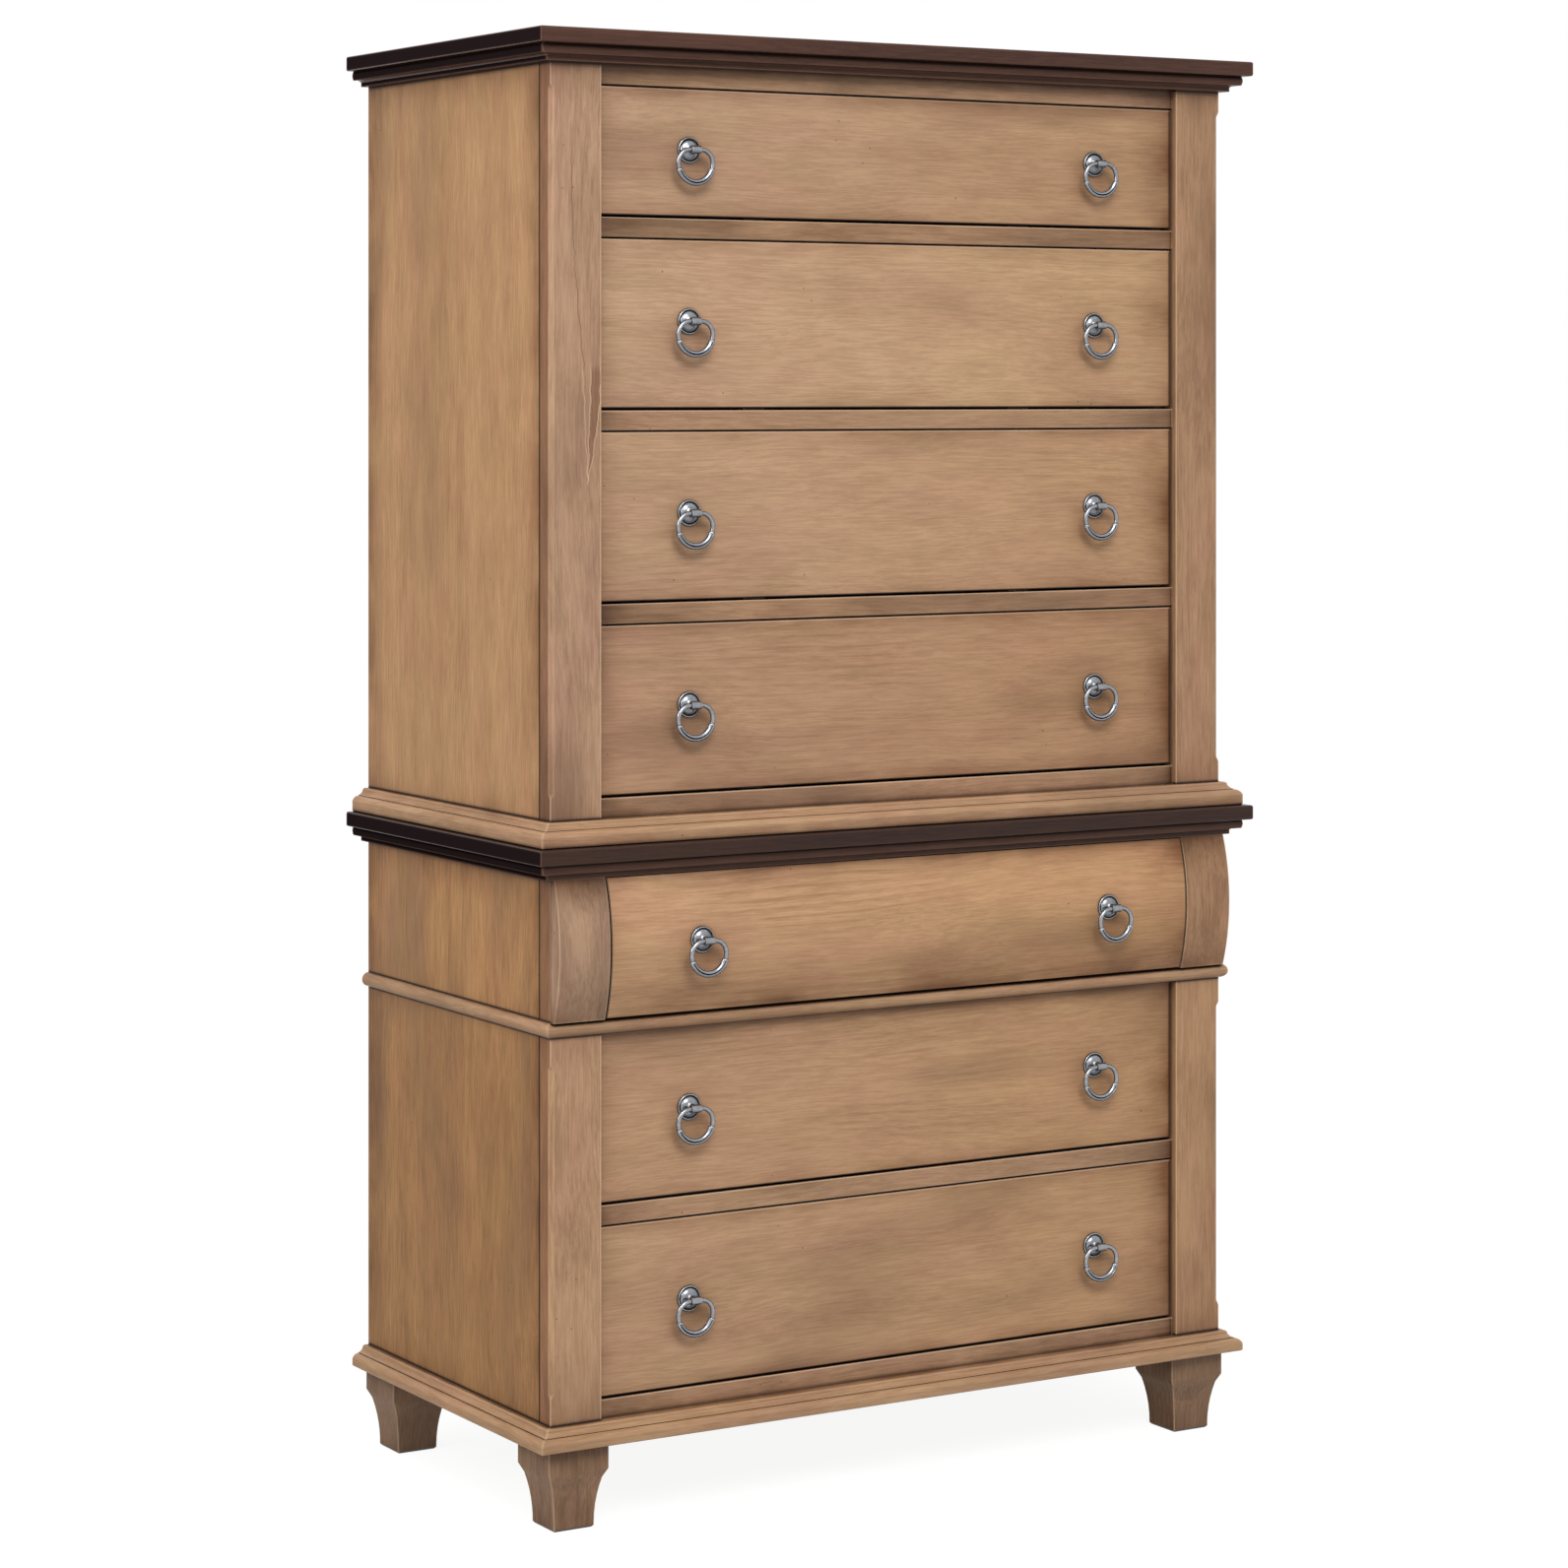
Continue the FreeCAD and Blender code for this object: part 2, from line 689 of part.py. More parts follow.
# ---------------------------------------------------------------- feet
def foot(name, x, y):
    """A square foot sawn to the same curve on all four faces, centred on (x, y)."""
    half = d.foot_size / 2
    shoulder = d.foot_height - d.foot_block - d.shoulder_drop
    toe = half - d.foot_taper
    drop = shoulder - d.foot_ease
    pinch = d.foot_taper - d.shoulder_inset
    hollow = arc_radius(root(drop * drop + pinch * pinch), d.foot_hollow)
    corners = [
        (half, d.foot_height - d.foot_block),
        (half - d.shoulder_inset, shoulder),
        (toe, d.foot_ease),
        (toe - d.foot_ease, 0),
    ]

    def sawn(centre, side, downwards):
        """One sawn face, walked down or up, on the low (-1) or high (+1) side of the foot."""
        block, waist, ankle, sole = [(centre + out * side, up) for out, up in corners]
        if downwards:
            return [block, waist, Arc(*ankle, hollow * side), sole]
        return [sole, ankle, Arc(*waist, -hollow * side), block]

    piece = body(name)
    top = [(x + half, d.foot_height), (x - half, d.foot_height)]
    prism(piece, name + "_profile", "Y", (y - half, y + half),
          top + sawn(x, -1, True) + sawn(x, 1, False))
    for side, label in ((-1, "front"), (1, "rear")):
        waste = sawn(y, side, True) + [(y + half * side, 0)]
        cut(piece, f"{name}_{label}_waste", "X", (x - half, x + half), waste)
    return piece


def feet():
    half = d.foot_size / 2
    reach = HALF + d.foot_proud - half
    members = []
    for end, y in (("front", FRONT - d.foot_proud + half), ("rear", BACK - half)):
        left = foot(f"foot_{end}_left", -reach, y)
        members += [left, mirrored(f"foot_{end}_right", left)]
    node(bundle("feet", members), "feet")


# ---------------------------------------------------------------- drawers
def tail_heights(number, low, high):
    """The dovetails of one corner, each as the foot and head of its root."""
    count = TAILS[number]
    foot_line = low + d.tail_foot
    pitch = (high - d.tail_head - foot_line) / count
    half_pin = pitch * 0.2
    steps = [foot_line + pitch * i for i in range(count + 1)]
    return [(foot + half_pin, head - half_pin) for foot, head in zip(steps, steps[1:])]


def tail_outline(root):
    """One tail, from its root on the drawer side out into the front."""
    end = DRAWER_BACK - d.tail_length
    return [
        (DRAWER_BACK, root[0]),
        (end, root[0] - d.tail_flare),
        (end, root[1] + d.tail_flare),
        (DRAWER_BACK, root[1]),
    ]


def drawer_front(number, roots, groove):
    """A front board with its dovetail sockets and the groove for the drawer bottom."""
    low, opening = OPENINGS[number]
    bowed = number == BOW_DRAWER
    below, above, beside = [d.bow_gap] * 3 if bowed else [d.gap_below, d.gap_above, d.side_gap]
    z = (low + below, low + opening - above)
    x = (beside - INNER, INNER - beside)
    piece = body(f"drawer_{number}_front")
    if bowed:
        sweep = arc_radius(d.bow_opening, d.bow_swell)
        edge = FRONT - BOW_REACH + arc_rise(opening - d.bow_gap * 2, sweep)
        section = [(DRAWER_BACK, z[1]), (edge, z[1]), Arc(edge, z[0], sweep), (DRAWER_BACK, z[0])]
        prism(piece, f"front_board_{number}", "X", x, section)
        ease(piece, f"front_ease_{number}", d.front_round, lambda p: near(p.y, edge))
    else:
        prism(piece, f"front_board_{number}", "Y", (FACE, DRAWER_BACK), rectangle(x, z))
        ease(piece, f"front_ease_{number}", d.front_round, lambda p: near(p.y, FACE))
    sockets = [tail_outline(root) for root in roots]
    left = (-BOX_HALF, -BOX_INSIDE)
    cut(piece, f"sockets_left_{number}", "X", left, *sockets)
    cut(piece, f"sockets_right_{number}", "X", across(left), *sockets)
    inside = BOX_INSIDE + d.groove_depth
    cut(piece, f"front_groove_{number}", "X", (-inside, inside),
        rectangle((DRAWER_BACK - d.groove_depth, DRAWER_BACK), groove))
    return node(piece, f"drawer_{number}_front")


def drawer_box(number, z, roots, groove):
    """Two dovetailed sides, the back, and the bottom in its grooves."""
    side = body(f"drawer_{number}_side_left")
    outline = [(BOX_END, z[0]), (DRAWER_BACK, z[0])]
    for root in roots:
        outline += tail_outline(root)
    outline += [(DRAWER_BACK, z[1]), (BOX_END, z[1])]
    prism(side, f"side_board_{number}", "X", (-BOX_HALF, -BOX_INSIDE), outline)
    inside = BOX_INSIDE + d.groove_depth
    cut(side, f"side_groove_{number}", "Y", (DRAWER_BACK, BOX_END),
        rectangle((-inside, -BOX_INSIDE), groove))
    members = [
        side,
        mirrored(f"drawer_{number}_side_right", side),
        board(f"drawer_{number}_back", (-BOX_INSIDE, BOX_INSIDE), (BOX_END - d.box_side, BOX_END),
              (groove[1], z[1])),
        board(f"drawer_{number}_bottom", (-inside, inside), (DRAWER_BACK - d.groove_depth, BOX_END),
              groove),
    ]
    return node(bundle(f"drawer_{number}_box", members), f"drawer_{number}_box")


def drawer(number, mount, ring):
    low, opening = OPENINGS[number]
    z = (low + d.box_rise, low + opening - d.box_headroom)
    roots = tail_heights(number, *z)
    groove = (z[0] + d.box_groove, z[0] + d.box_groove + d.box_floor)
    drawer_front(number, roots, groove)
    drawer_box(number, z, roots, groove)
    face = FRONT - BOW_REACH if number == BOW_DRAWER else FACE
    height = low + opening / 2 + d.pull_rise
    mounts = []
    for side, x in (("left", -d.pull_spacing), ("right", d.pull_spacing)):
        fixed = bundle(f"pull_{number}_{side}", [mount])
        place(fixed, x, face, height)
        mounts.append(fixed)
        hung = bundle(f"ring_{number}_{side}", [ring])
        place(hung, x, face - d.pull_reach, height)
        node(hung, f"drawer_{number}_ring_{side}")
    node(bundle(f"drawer_{number}_pulls", mounts), f"drawer_{number}_pulls")


# ---------------------------------------------------------------- ring pulls
# The fourteen pulls have a few flat sides in place of round ones, to keep the whole chest light.
ROSE_SIDES = 10
NECK_SIDES = 6
BAR_SIDES = 8


def facets(centre, radius, start, end, count):
    """Corners of an arc taken in equal straight facets, without its first point. Degrees."""
    corners = []
    for i in range(1, count + 1):
        turn = math.radians(start + (end - start) * i / count)
        corners.append((centre[0] + radius * math.cos(turn), centre[1] + radius * math.sin(turn)))
    return corners


def polygon(u, v, radius, sides):
    return facets((as_size(u), as_size(v)), radius, 180 / sides, 360 + 180 / sides, sides)


def pull_mount():
    """Rose, neck and barrel, drawn with the drawer face at y = 0 and the pull's middle at x = z = 0."""
    piece = body("pull_mount")
    prism(piece, "rose", "Y", (-d.rose_rim, 0), polygon(0, 0, d.rose_radius, ROSE_SIDES))
    dome = prism(piece, "dome", "Y", (-d.dome_height, 0), polygon(0, 0, d.dome_radius, ROSE_SIDES))
    dome.TaperAngle = -d.dome_slope.number
    dome.setExpression("TaperAngle", f"0 - {d.dome_slope.formula}")
    prism(piece, "neck", "Y", (-d.pull_reach, -d.dome_height), polygon(0, 0, d.neck_radius, NECK_SIDES))
    barrel = (-d.knuckle_length / 2, d.knuckle_length / 2)
    prism(piece, "barrel", "X", barrel, polygon(-d.pull_reach, 0, d.knuckle_radius, BAR_SIDES))
    bore = (d.ring_bar + d.ring_fit) / math.cos(math.pi / BAR_SIDES)
    cut(piece, "barrel_bore", "X", barrel, polygon(-d.pull_reach, 0, bore, BAR_SIDES))
    return piece


def swept(name, section, path):
    """A closed section carried along a faceted path in the XZ plane, mitred at its corners.

    The section is drawn on the YZ plane, moved along X and Z to the start of the path.
    """
    spine = doc.addObject("Sketcher::SketchObject", name + "_path")
    spine.Placement = FreeCAD.Placement(Vector(), FreeCAD.Rotation(Vector(1, 0, 0), 90))
    draw(spine, path, closed=False)
    profile = doc.addObject("Sketcher::SketchObject", name + "_section")
    profile.Placement = FreeCAD.Placement(Vector(), FreeCAD.Rotation(Vector(1, 1, 1), 120))
    draw(profile, section)
    place(profile, path[0][0], 0, path[0][1])
    limb = doc.addObject("Part::Sweep", name)
    limb.Sections = [profile]
    limb.Spine = (spine, [])
    limb.Solid = True
    limb.Transition = "Right corner"
    return limb


def pull_ring():
    """The ring hanging from its pivot, which lies along X through the origin.

    Its thin upper limb turns down from the barrel to a collar, and a thicker limb
    with two ridges and a groove between them runs round from collar to collar.
    """
    start = d.ring_straight / 2
    shoulder = (start, -d.ring_shoulder)
    middle = (as_size(0), -d.ring_shoulder)
    sweep = start + d.ring_shoulder
    collar_turn = -20
    upper_path = [(as_size(0), as_size(0)), (start, as_size(0))]
    upper_path += facets(shoulder, d.ring_shoulder, 90, 0, 3)
    upper_path += facets(middle, sweep, 0, collar_turn, 1)
    upper = swept("upper_limb", polygon(0, 0, d.ring_bar, BAR_SIDES), upper_path)

    # the lower limb starts from the middle of its lowest facet
    lower_facets = 4
    facet = (90 + collar_turn) / (lower_facets - 0.5)
    foot_of_ring = -d.ring_shoulder - sweep * math.cos(math.radians(facet / 2))
    lower_path = [(as_size(0), foot_of_ring)]
    lower_path += facets(middle, sweep, -90 - facet / 2, collar_turn, lower_facets)
    wide = d.grip_width / 2
    deep = d.grip_depth / 2
    ridge = d.ridge_spacing / 2
    groove = deep - d.grip_groove
    front_half = [(as_size(0), wide), (-deep, ridge), (-groove, as_size(0)), (-deep, -ridge)]
    ridged = front_half + [(-y, -z) for y, z in front_half]
    lower = swept("lower_limb", ridged, lower_path)

    collar = doc.addObject("Part::Prism", "collar")
    collar.Polygon = 6
    bind(collar, "Circumradius", d.collar_radius)
    bind(collar, "Height", d.collar_length)
    collar.Placement = FreeCAD.Placement(Vector(), FreeCAD.Rotation(Vector(0, 1, 0), -collar_turn))
    turn = math.radians(collar_turn)
    ahead = d.collar_length / 2
    place(collar, sweep * math.cos(turn) + ahead * math.sin(turn), 0,
          sweep * math.sin(turn) - d.ring_shoulder - ahead * math.cos(turn))

    half = [upper, lower, collar]
    ring = doc.addObject("Part::MultiFuse", "pull_ring")
    ring.Shapes = half + [mirrored(f"{limb.Name}_left", limb) for limb in half]
    ring.Refine = True
    return ring


# ---------------------------------------------------------------- the chest
top_slab("upper_top", UPPER_SLAB)
cornice("crown_moulding", CROWN, True)
post("upper_post", DECK, UPPER_SLAB, (DECK_TOP + d.upper_stop, CROWN - d.upper_stop))
side_panel("upper_side", DECK, UPPER_SLAB)
back_panel("upper_back", DECK, UPPER_SLAB)
upper_rails()
plinth_moulding("upper_base_moulding", DECK, d.deck_mould_height)

top_slab("lower_top", LOWER_SLAB)
cornice("lower_top_moulding", LOWER_CORNICE, False)
post("lower_post", d.foot_height, LOWER_SLAB, (BASE_TOP + d.lower_stop, BEAD - d.lower_stop))
bow_blocks()
side_panel("lower_side", d.foot_height, LOWER_SLAB)
back_panel("lower_back", d.foot_height, LOWER_SLAB)
lower_rails()
waist_bead()
plinth_moulding("base_moulding", d.foot_height, d.base_mould_height)

floors()
upper_bearers = [(level, level + d.rail_height) for level in (RAIL_12, RAIL_23, RAIL_34)]
lower_bearers = [(BEAD, BOW), (RAIL_67, RAIL_67 + d.rail_height)]
runners("upper_runners", upper_bearers, (1, 2, 3, 4), HEAD)
runners("lower_runners", lower_bearers, (5, 6, 7), LOWER_CORNICE)
feet()

mount_master = pull_mount()
ring_master = pull_ring()
for drawer_number in OPENINGS:
    drawer(drawer_number, mount_master, ring_master)

doc.recompute()

# ---------------------------------------------------------------- checks and files
for item in doc.Objects:
    if "Invalid" in item.State or "Error" in item.State:
        raise ValueError(f"{item.Name} did not recompute: {item.State}")
for item in nodes:
    if item.Shape.isNull() or not item.Shape.isValid() or item.Shape.Volume <= 0:
        raise ValueError(f"{item.Label} has no sound solid")

os.makedirs("parts", exist_ok=True)
for item in nodes:
    item.Shape.exportStep(f"parts/{item.Label}.step")
print(f"{len(nodes)} sub-parts")
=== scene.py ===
import bpy
import json
import math
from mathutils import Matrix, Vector

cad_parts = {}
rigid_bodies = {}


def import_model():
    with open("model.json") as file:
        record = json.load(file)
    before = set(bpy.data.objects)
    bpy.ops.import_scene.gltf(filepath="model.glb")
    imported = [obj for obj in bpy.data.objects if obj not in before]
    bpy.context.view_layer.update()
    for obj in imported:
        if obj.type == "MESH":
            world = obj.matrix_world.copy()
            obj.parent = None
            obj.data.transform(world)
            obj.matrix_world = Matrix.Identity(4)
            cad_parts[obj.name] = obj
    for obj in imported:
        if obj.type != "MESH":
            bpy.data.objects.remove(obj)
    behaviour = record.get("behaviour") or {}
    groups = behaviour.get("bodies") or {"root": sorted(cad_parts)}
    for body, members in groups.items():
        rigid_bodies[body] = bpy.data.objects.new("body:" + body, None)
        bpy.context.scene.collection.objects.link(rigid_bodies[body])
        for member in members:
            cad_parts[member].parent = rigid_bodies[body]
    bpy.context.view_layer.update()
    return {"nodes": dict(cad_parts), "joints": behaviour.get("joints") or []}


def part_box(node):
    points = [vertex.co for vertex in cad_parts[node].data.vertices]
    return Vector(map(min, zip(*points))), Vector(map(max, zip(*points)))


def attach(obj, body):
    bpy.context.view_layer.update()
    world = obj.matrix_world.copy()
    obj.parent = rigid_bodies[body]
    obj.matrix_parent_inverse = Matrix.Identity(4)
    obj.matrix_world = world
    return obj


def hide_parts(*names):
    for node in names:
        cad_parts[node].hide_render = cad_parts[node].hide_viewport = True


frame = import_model()

# ---------------------------------------------------------------- side panels
# Glued-up maple boards, 19 mm thick, with the grain upright. Each is tongued into its post behind
# a small V groove. Wiped with a tan stain, glazed in the corners and sprayed with satin lacquer. Painted
# shade darkens their corners, seams, groove and edges along with the glaze, and the lower ones are
# painted lighter towards their tops.


def add_node(tree, kind, inputs, **settings):
    """Adds a node. Each input is a plain value, or the socket that it is taken from."""
    made = tree.nodes.new("ShaderNode" + kind)
    for name, value in settings.items():
        setattr(made, name, value)
    for socket, value in inputs.items():
        if isinstance(value, bpy.types.NodeSocket):
            tree.links.new(value, made.inputs[socket])
        else:
            made.inputs[socket].default_value = value
    return made


def number(tree, operation, *terms, clamp=False):
    made = add_node(tree, "Math", dict(enumerate(terms)), operation=operation, use_clamp=clamp)
    return made.outputs[0]


def times(tree, *terms, clamp=False):
    """The product of all the terms."""
    product = terms[0]
    for term in terms[1:]:
        product = number(tree, "MULTIPLY", product, term, clamp=clamp)
    return product


def axes_of(tree, place):
    """The X, Y and Z of a place or of a direction."""
    return add_node(tree, "SeparateXYZ", {"Vector": place}).outputs


def vector(tree, operation, a, b):
    return add_node(tree, "VectorMath", {0: a, 1: b}, operation=operation).outputs[0]


def spread(tree, value, low, high, to_low=0.0, to_high=1.0):
    """Maps low..high to to_low..to_high with soft ends."""
    limits = {"Value": value, "From Min": low, "From Max": high, "To Min": to_low, "To Max": to_high}
    return add_node(tree, "MapRange", limits, interpolation_type="SMOOTHSTEP").outputs["Result"]


def noise(tree, place, stretch, detail=2.0, roughness=0.5):
    """Cloudy noise with so many clouds to the metre along X, Y and Z."""
    inputs = {"Vector": vector(tree, "MULTIPLY", place, stretch), "Scale": 1.0}
    inputs.update({"Detail": detail, "Roughness": roughness})
    return add_node(tree, "TexNoise", inputs).outputs["Fac"]


def mixed(tree, factor, a, b, blend="MIX"):
    inputs = {"Factor": factor, 6: a, 7: b}
    made = add_node(tree, "Mix", inputs, data_type="RGBA", blend_type=blend)
    return made.outputs[2]


def tint(red, green, blue):
    """A colour from its screen values, 0 to 255, as the shader takes it."""
    linear = [((v / 255 + 0.055) / 1.055) ** 2.4 if v > 10 else v / 255 / 12.92 for v in (red, green, blue)]
    return (*linear, 1.0)


def effect(name, inputs, outputs):
    """Starts a node group; inputs and outputs are name: (kind, default)."""
    tree = bpy.data.node_groups.new(name, "ShaderNodeTree")
    for label, (kind, default) in inputs.items():
        socket = tree.interface.new_socket(label, in_out="INPUT", socket_type="NodeSocket" + kind)
        if default is not None:
            socket.default_value = default
    for label, kind in outputs.items():
        tree.interface.new_socket(label, in_out="OUTPUT", socket_type="NodeSocket" + kind)
    return tree, tree.nodes.new("NodeGroupInput").outputs, tree.nodes.new("NodeGroupOutput").inputs


def use(tree, group, inputs):
    """Places an effect in a material or in another effect."""
    return add_node(tree, "Group", inputs, node_tree=group).outputs


# Wood figure: grain runs along X of the vector that it is given, in metres. A wave of scale 1 has
# its rings this far apart.
WAVE_LENGTH = 0.314
figure, given, result = effect(
    "Wood figure",
    {"Vector": ("Vector", None), "Pith": ("Vector", (0.0, 0.13, 0.05)), "Ring spacing": ("Float", 0.011)},
    {"Lines": "Float", "Streaks": "Float", "Patches": "Float", "Mottle": "Float", "Pores": "Float",
     "Rings": "Float"},
)
sway = noise(figure, given["Vector"], (2.2, 7.0, 7.0), 1.0)
drift = add_node(figure, "CombineXYZ", {
    "Y": times(figure, number(figure, "SUBTRACT", sway, 0.5), 0.05),
    "Z": times(figure, number(figure, "SUBTRACT", sway, 0.5), 0.035)}).outputs[0]
grain = vector(figure, "ADD", given["Vector"], drift)
from_pith = vector(figure, "MULTIPLY", vector(figure, "ADD", grain, given["Pith"]), (0.1, 1.0, 1.0))
waves = add_node(figure, "TexWave", {
    "Vector": from_pith,
    "Scale": number(figure, "DIVIDE", WAVE_LENGTH, given["Ring spacing"]),
    "Distortion": 5.0, "Detail": 3.0, "Detail Scale": 0.35, "Detail Roughness": 0.55,
}, wave_type="RINGS", rings_direction="X", wave_profile="SAW").outputs["Fac"]
links = figure.links.new
links(noise(figure, grain, (20.0, 430.0, 430.0), 3.0, 0.7), result["Lines"])
links(noise(figure, grain, (1.3, 24.0, 24.0), 3.0, 0.55), result["Streaks"])
links(noise(figure, grain, (2.8, 9.0, 9.0), 2.0, 0.45), result["Patches"])
links(noise(figure, grain, (10.0, 26.0, 26.0), 4.0, 0.65), result["Mottle"])
links(spread(figure, noise(figure, grain, (70.0, 1500.0, 1500.0), 1.0), 0.6, 0.72), result["Pores"])
shown = spread(figure, noise(figure, grain, (2.5, 10.0, 10.0), 1.0), 0.42, 0.62)
links(times(figure, spread(figure, waves, 0.35, 1.0), shown), result["Rings"])

# Glaze and painted shade: corners, joints and creases are darkened by ambient occlusion, as dark wax left
# where a cloth can't reach and as painted shade.
glaze, given, result = effect(
    "Corner glazing and shade",
    {"Vector": ("Vector", None), "Close reach": ("Float", 0.006), "Wide reach": ("Float", 0.05)},
    {"Line": "Float", "Haze": "Float"},
)
close = add_node(glaze, "AmbientOcclusion", {"Distance": given["Close reach"]}, samples=6)
wide = add_node(glaze, "AmbientOcclusion", {"Distance": given["Wide reach"]}, samples=6)
uneven = spread(glaze, noise(glaze, given["Vector"], (14.0, 14.0, 14.0), 3.0), 0.3, 0.7, 0.35, 1.0)
glaze.links.new(spread(glaze, close.outputs["AO"], 0.9, 0.6), result["Line"])
haze = times(glaze, spread(glaze, wide.outputs["AO"], 1.0, 0.45), uneven)
glaze.links.new(haze, result["Haze"])

# Sanded edges and painted highlight: outer edges are painted paler, as stain worn thin on the eased edges and
# as a highlight where light catches them.
sanded_and_highlit, given, result = effect("Sanded edges and highlight", {"Reach": ("Float", 0.0022)}, {"Edge": "Float"})
near_edge = add_node(sanded_and_highlit, "AmbientOcclusion", {"Distance": given["Reach"]},
                samples=6, inside=True, only_local=True)
sanded_and_highlit.links.new(spread(sanded_and_highlit, near_edge.outputs["AO"], 0.97, 0.55), result["Edge"])

# Worm marks: pinpricks punched in loose clusters before staining.
worm_marks, given, result = effect("Worm marks", {"Vector": ("Vector", None)}, {"Mark": "Float"})
cells = add_node(worm_marks, "TexVoronoi", {"Vector": given["Vector"], "Scale": 60.0}, feature="F1")
pricks = spread(worm_marks, cells.outputs["Distance"], 0.08, 0.045)
cluster = spread(worm_marks, noise(worm_marks, given["Vector"], (9.0, 9.0, 9.0), 1.0), 0.62, 0.65)
worm_marks.links.new(times(worm_marks, pricks, cluster), result["Mark"])

# Stained maple: the whole finish, from pale tan to a browner, rosier tone, as colour and relief, with painted
# shade in the corners and painted highlights on the edges.
maple, given, result = effect(
    "Stained maple",
    {"Vector": ("Vector", None), "Position": ("Vector", None), "Pith": ("Vector", (0.0, 0.13, 0.05)),
     "Pale": ("Color", tint(196, 160, 124)), "Brown": ("Color", tint(150, 112, 80)),
     "Ring strength": ("Float", 0.25), "Glaze strength": ("Float", 1.0), "Patch strength": ("Float", 0.5),
     "Edge strength": ("Float", 0.7), "Mottle strength": ("Float", 0.35),
     "Smudge": ("Color", tint(112, 84, 62))},
    {"Color": "Color", "Roughness": "Float", "Height": "Float"},
)
wood = use(maple, figure, {"Vector": given["Vector"], "Pith": given["Pith"]})
corner = use(maple, glaze, {"Vector": given["Position"]})
edge = use(maple, sanded_and_highlit, {})
marks = use(maple, worm_marks, {"Vector": given["Position"]})
depth = times(maple, spread(maple, wood["Lines"], 0.36, 0.64), 0.54)
streaks = times(maple, spread(maple, wood["Streaks"], 0.3, 0.7), 0.28)
depth = number(maple, "ADD", depth, streaks)
depth = number(maple, "ADD", depth, times(maple, wood["Rings"], given["Ring strength"]))
mottle = spread(maple, wood["Mottle"], 0.34, 0.66, -0.5, 0.5)
mottle = times(maple, mottle, given["Mottle strength"])
depth = times(maple, number(maple, "ADD", depth, mottle), 0.8, clamp=True)
stain = mixed(maple, depth, given["Pale"], given["Brown"])
smudge = times(maple, spread(maple, wood["Patches"], 0.48, 0.8), given["Patch strength"])
stain = mixed(maple, smudge, stain, given["Smudge"])
rosy = spread(maple, noise(maple, given["Vector"], (6.0, 20.0, 20.0), 3.0), 0.42, 0.62, 0.0, 0.6)
stain = mixed(maple, rosy, stain, (0.99, 0.92, 0.99, 1.0), "MULTIPLY")
stain = mixed(maple, times(maple, wood["Pores"], 0.12), stain, tint(104, 70, 46))
# Painted shade, with real glaze: darker haze and lines in corners, joints and creases.
haze = times(maple, corner["Haze"], given["Glaze strength"], 0.85)
stain = mixed(maple, haze, stain, (0.36, 0.25, 0.17, 1.0), "MULTIPLY")
line = times(maple, corner["Line"], given["Glaze strength"], 0.8)
stain = mixed(maple, line, stain, tint(40, 24, 16))
# Painted highlight, with real rub: paler outer edges.
edge_rub_and_highlight = times(maple, edge["Edge"], given["Edge strength"])
stain = mixed(maple, edge_rub_and_highlight, stain, tint(236, 204, 168))
stain = mixed(maple, times(maple, marks["Mark"], 0.7), stain, tint(48, 28, 18))
maple.links.new(stain, result["Color"])
maple.links.new(spread(maple, wood["Lines"], 0.2, 0.8, 0.36, 0.46), result["Roughness"])
relief = number(maple, "SUBTRACT", times(maple, wood["Lines"], 0.3), marks["Mark"])
maple.links.new(relief, result["Height"])


def new_material(name):
    material = bpy.data.materials.new(name)
    material.use_nodes = True
    tree = material.node_tree
    position = add_node(tree, "TexCoord", {}).outputs["Object"]
    return material, tree, tree.nodes["Principled BSDF"], position


def finish_surface(tree, shader, colour, roughness, height, relief_depth, specular=0.3):
    shader.inputs["Specular IOR Level"].default_value = specular
    tree.links.new(colour, shader.inputs["Base Color"])
    tree.links.new(roughness, shader.inputs["Roughness"])
    bump = add_node(tree, "Bump", {"Height": height, "Distance": relief_depth, "Strength": 1.0})
    tree.links.new(bump.outputs[0], shader.inputs["Normal"])


def new_wood(name, finish, lay, **values):
    """A wooden material: lay(tree, position) places the grain, and finish is the effect that colours it."""
    material, tree, shader, position = new_material(name)
    inputs = {"Vector": lay(tree, position), "Position": position}
    inputs.update({label.replace("_", " ").capitalize(): value for label, value in values.items()})
    wood = use(tree, finish, inputs)
    finish_surface(tree, shader, wood["Color"], wood["Roughness"], wood["Height"], GRAIN_DEPTH)
    return material


def lying(turn, start=(0.0, 0.0, 0.0)):
    """Grain that is turned so far round X, Y and Z, and cut from its own part of the log."""

    def lay(tree, position):
        return add_node(tree, "Mapping", {"Vector": position, "Rotation": turn, "Location": start}).outputs[0]

    return lay


def flatter_sides(material, front, side):
    """The lacquer shines so much on the front, and is rubbed flatter on the sides."""
    tree = material.node_tree
    normal = add_node(tree, "NewGeometry", {}).outputs["Normal"]
    sideways = number(tree, "ABSOLUTE", axes_of(tree, normal)["X"])
    shine = tree.nodes["Principled BSDF"].inputs["Specular IOR Level"]
    shine.default_value = front
    tree.links.new(spread(tree, sideways, 0.3, 0.8, front, side), shine)


ALONG_X = (0.0, 0.0, 0.0)
ALONG_Y = (0.0, 0.0, math.radians(-90))
UPRIGHT = (0.0, math.radians(90), 0.0)
GRAIN_DEPTH = 0.0002
SATIN_SHINE = (0.3, 0.06)


def stained_maple(name, turn, start=(0.0, 0.0, 0.0), **values):
    material = new_wood(name, maple, lying(turn, start), **values)
    flatter_sides(material, *SATIN_SHINE)
    return material


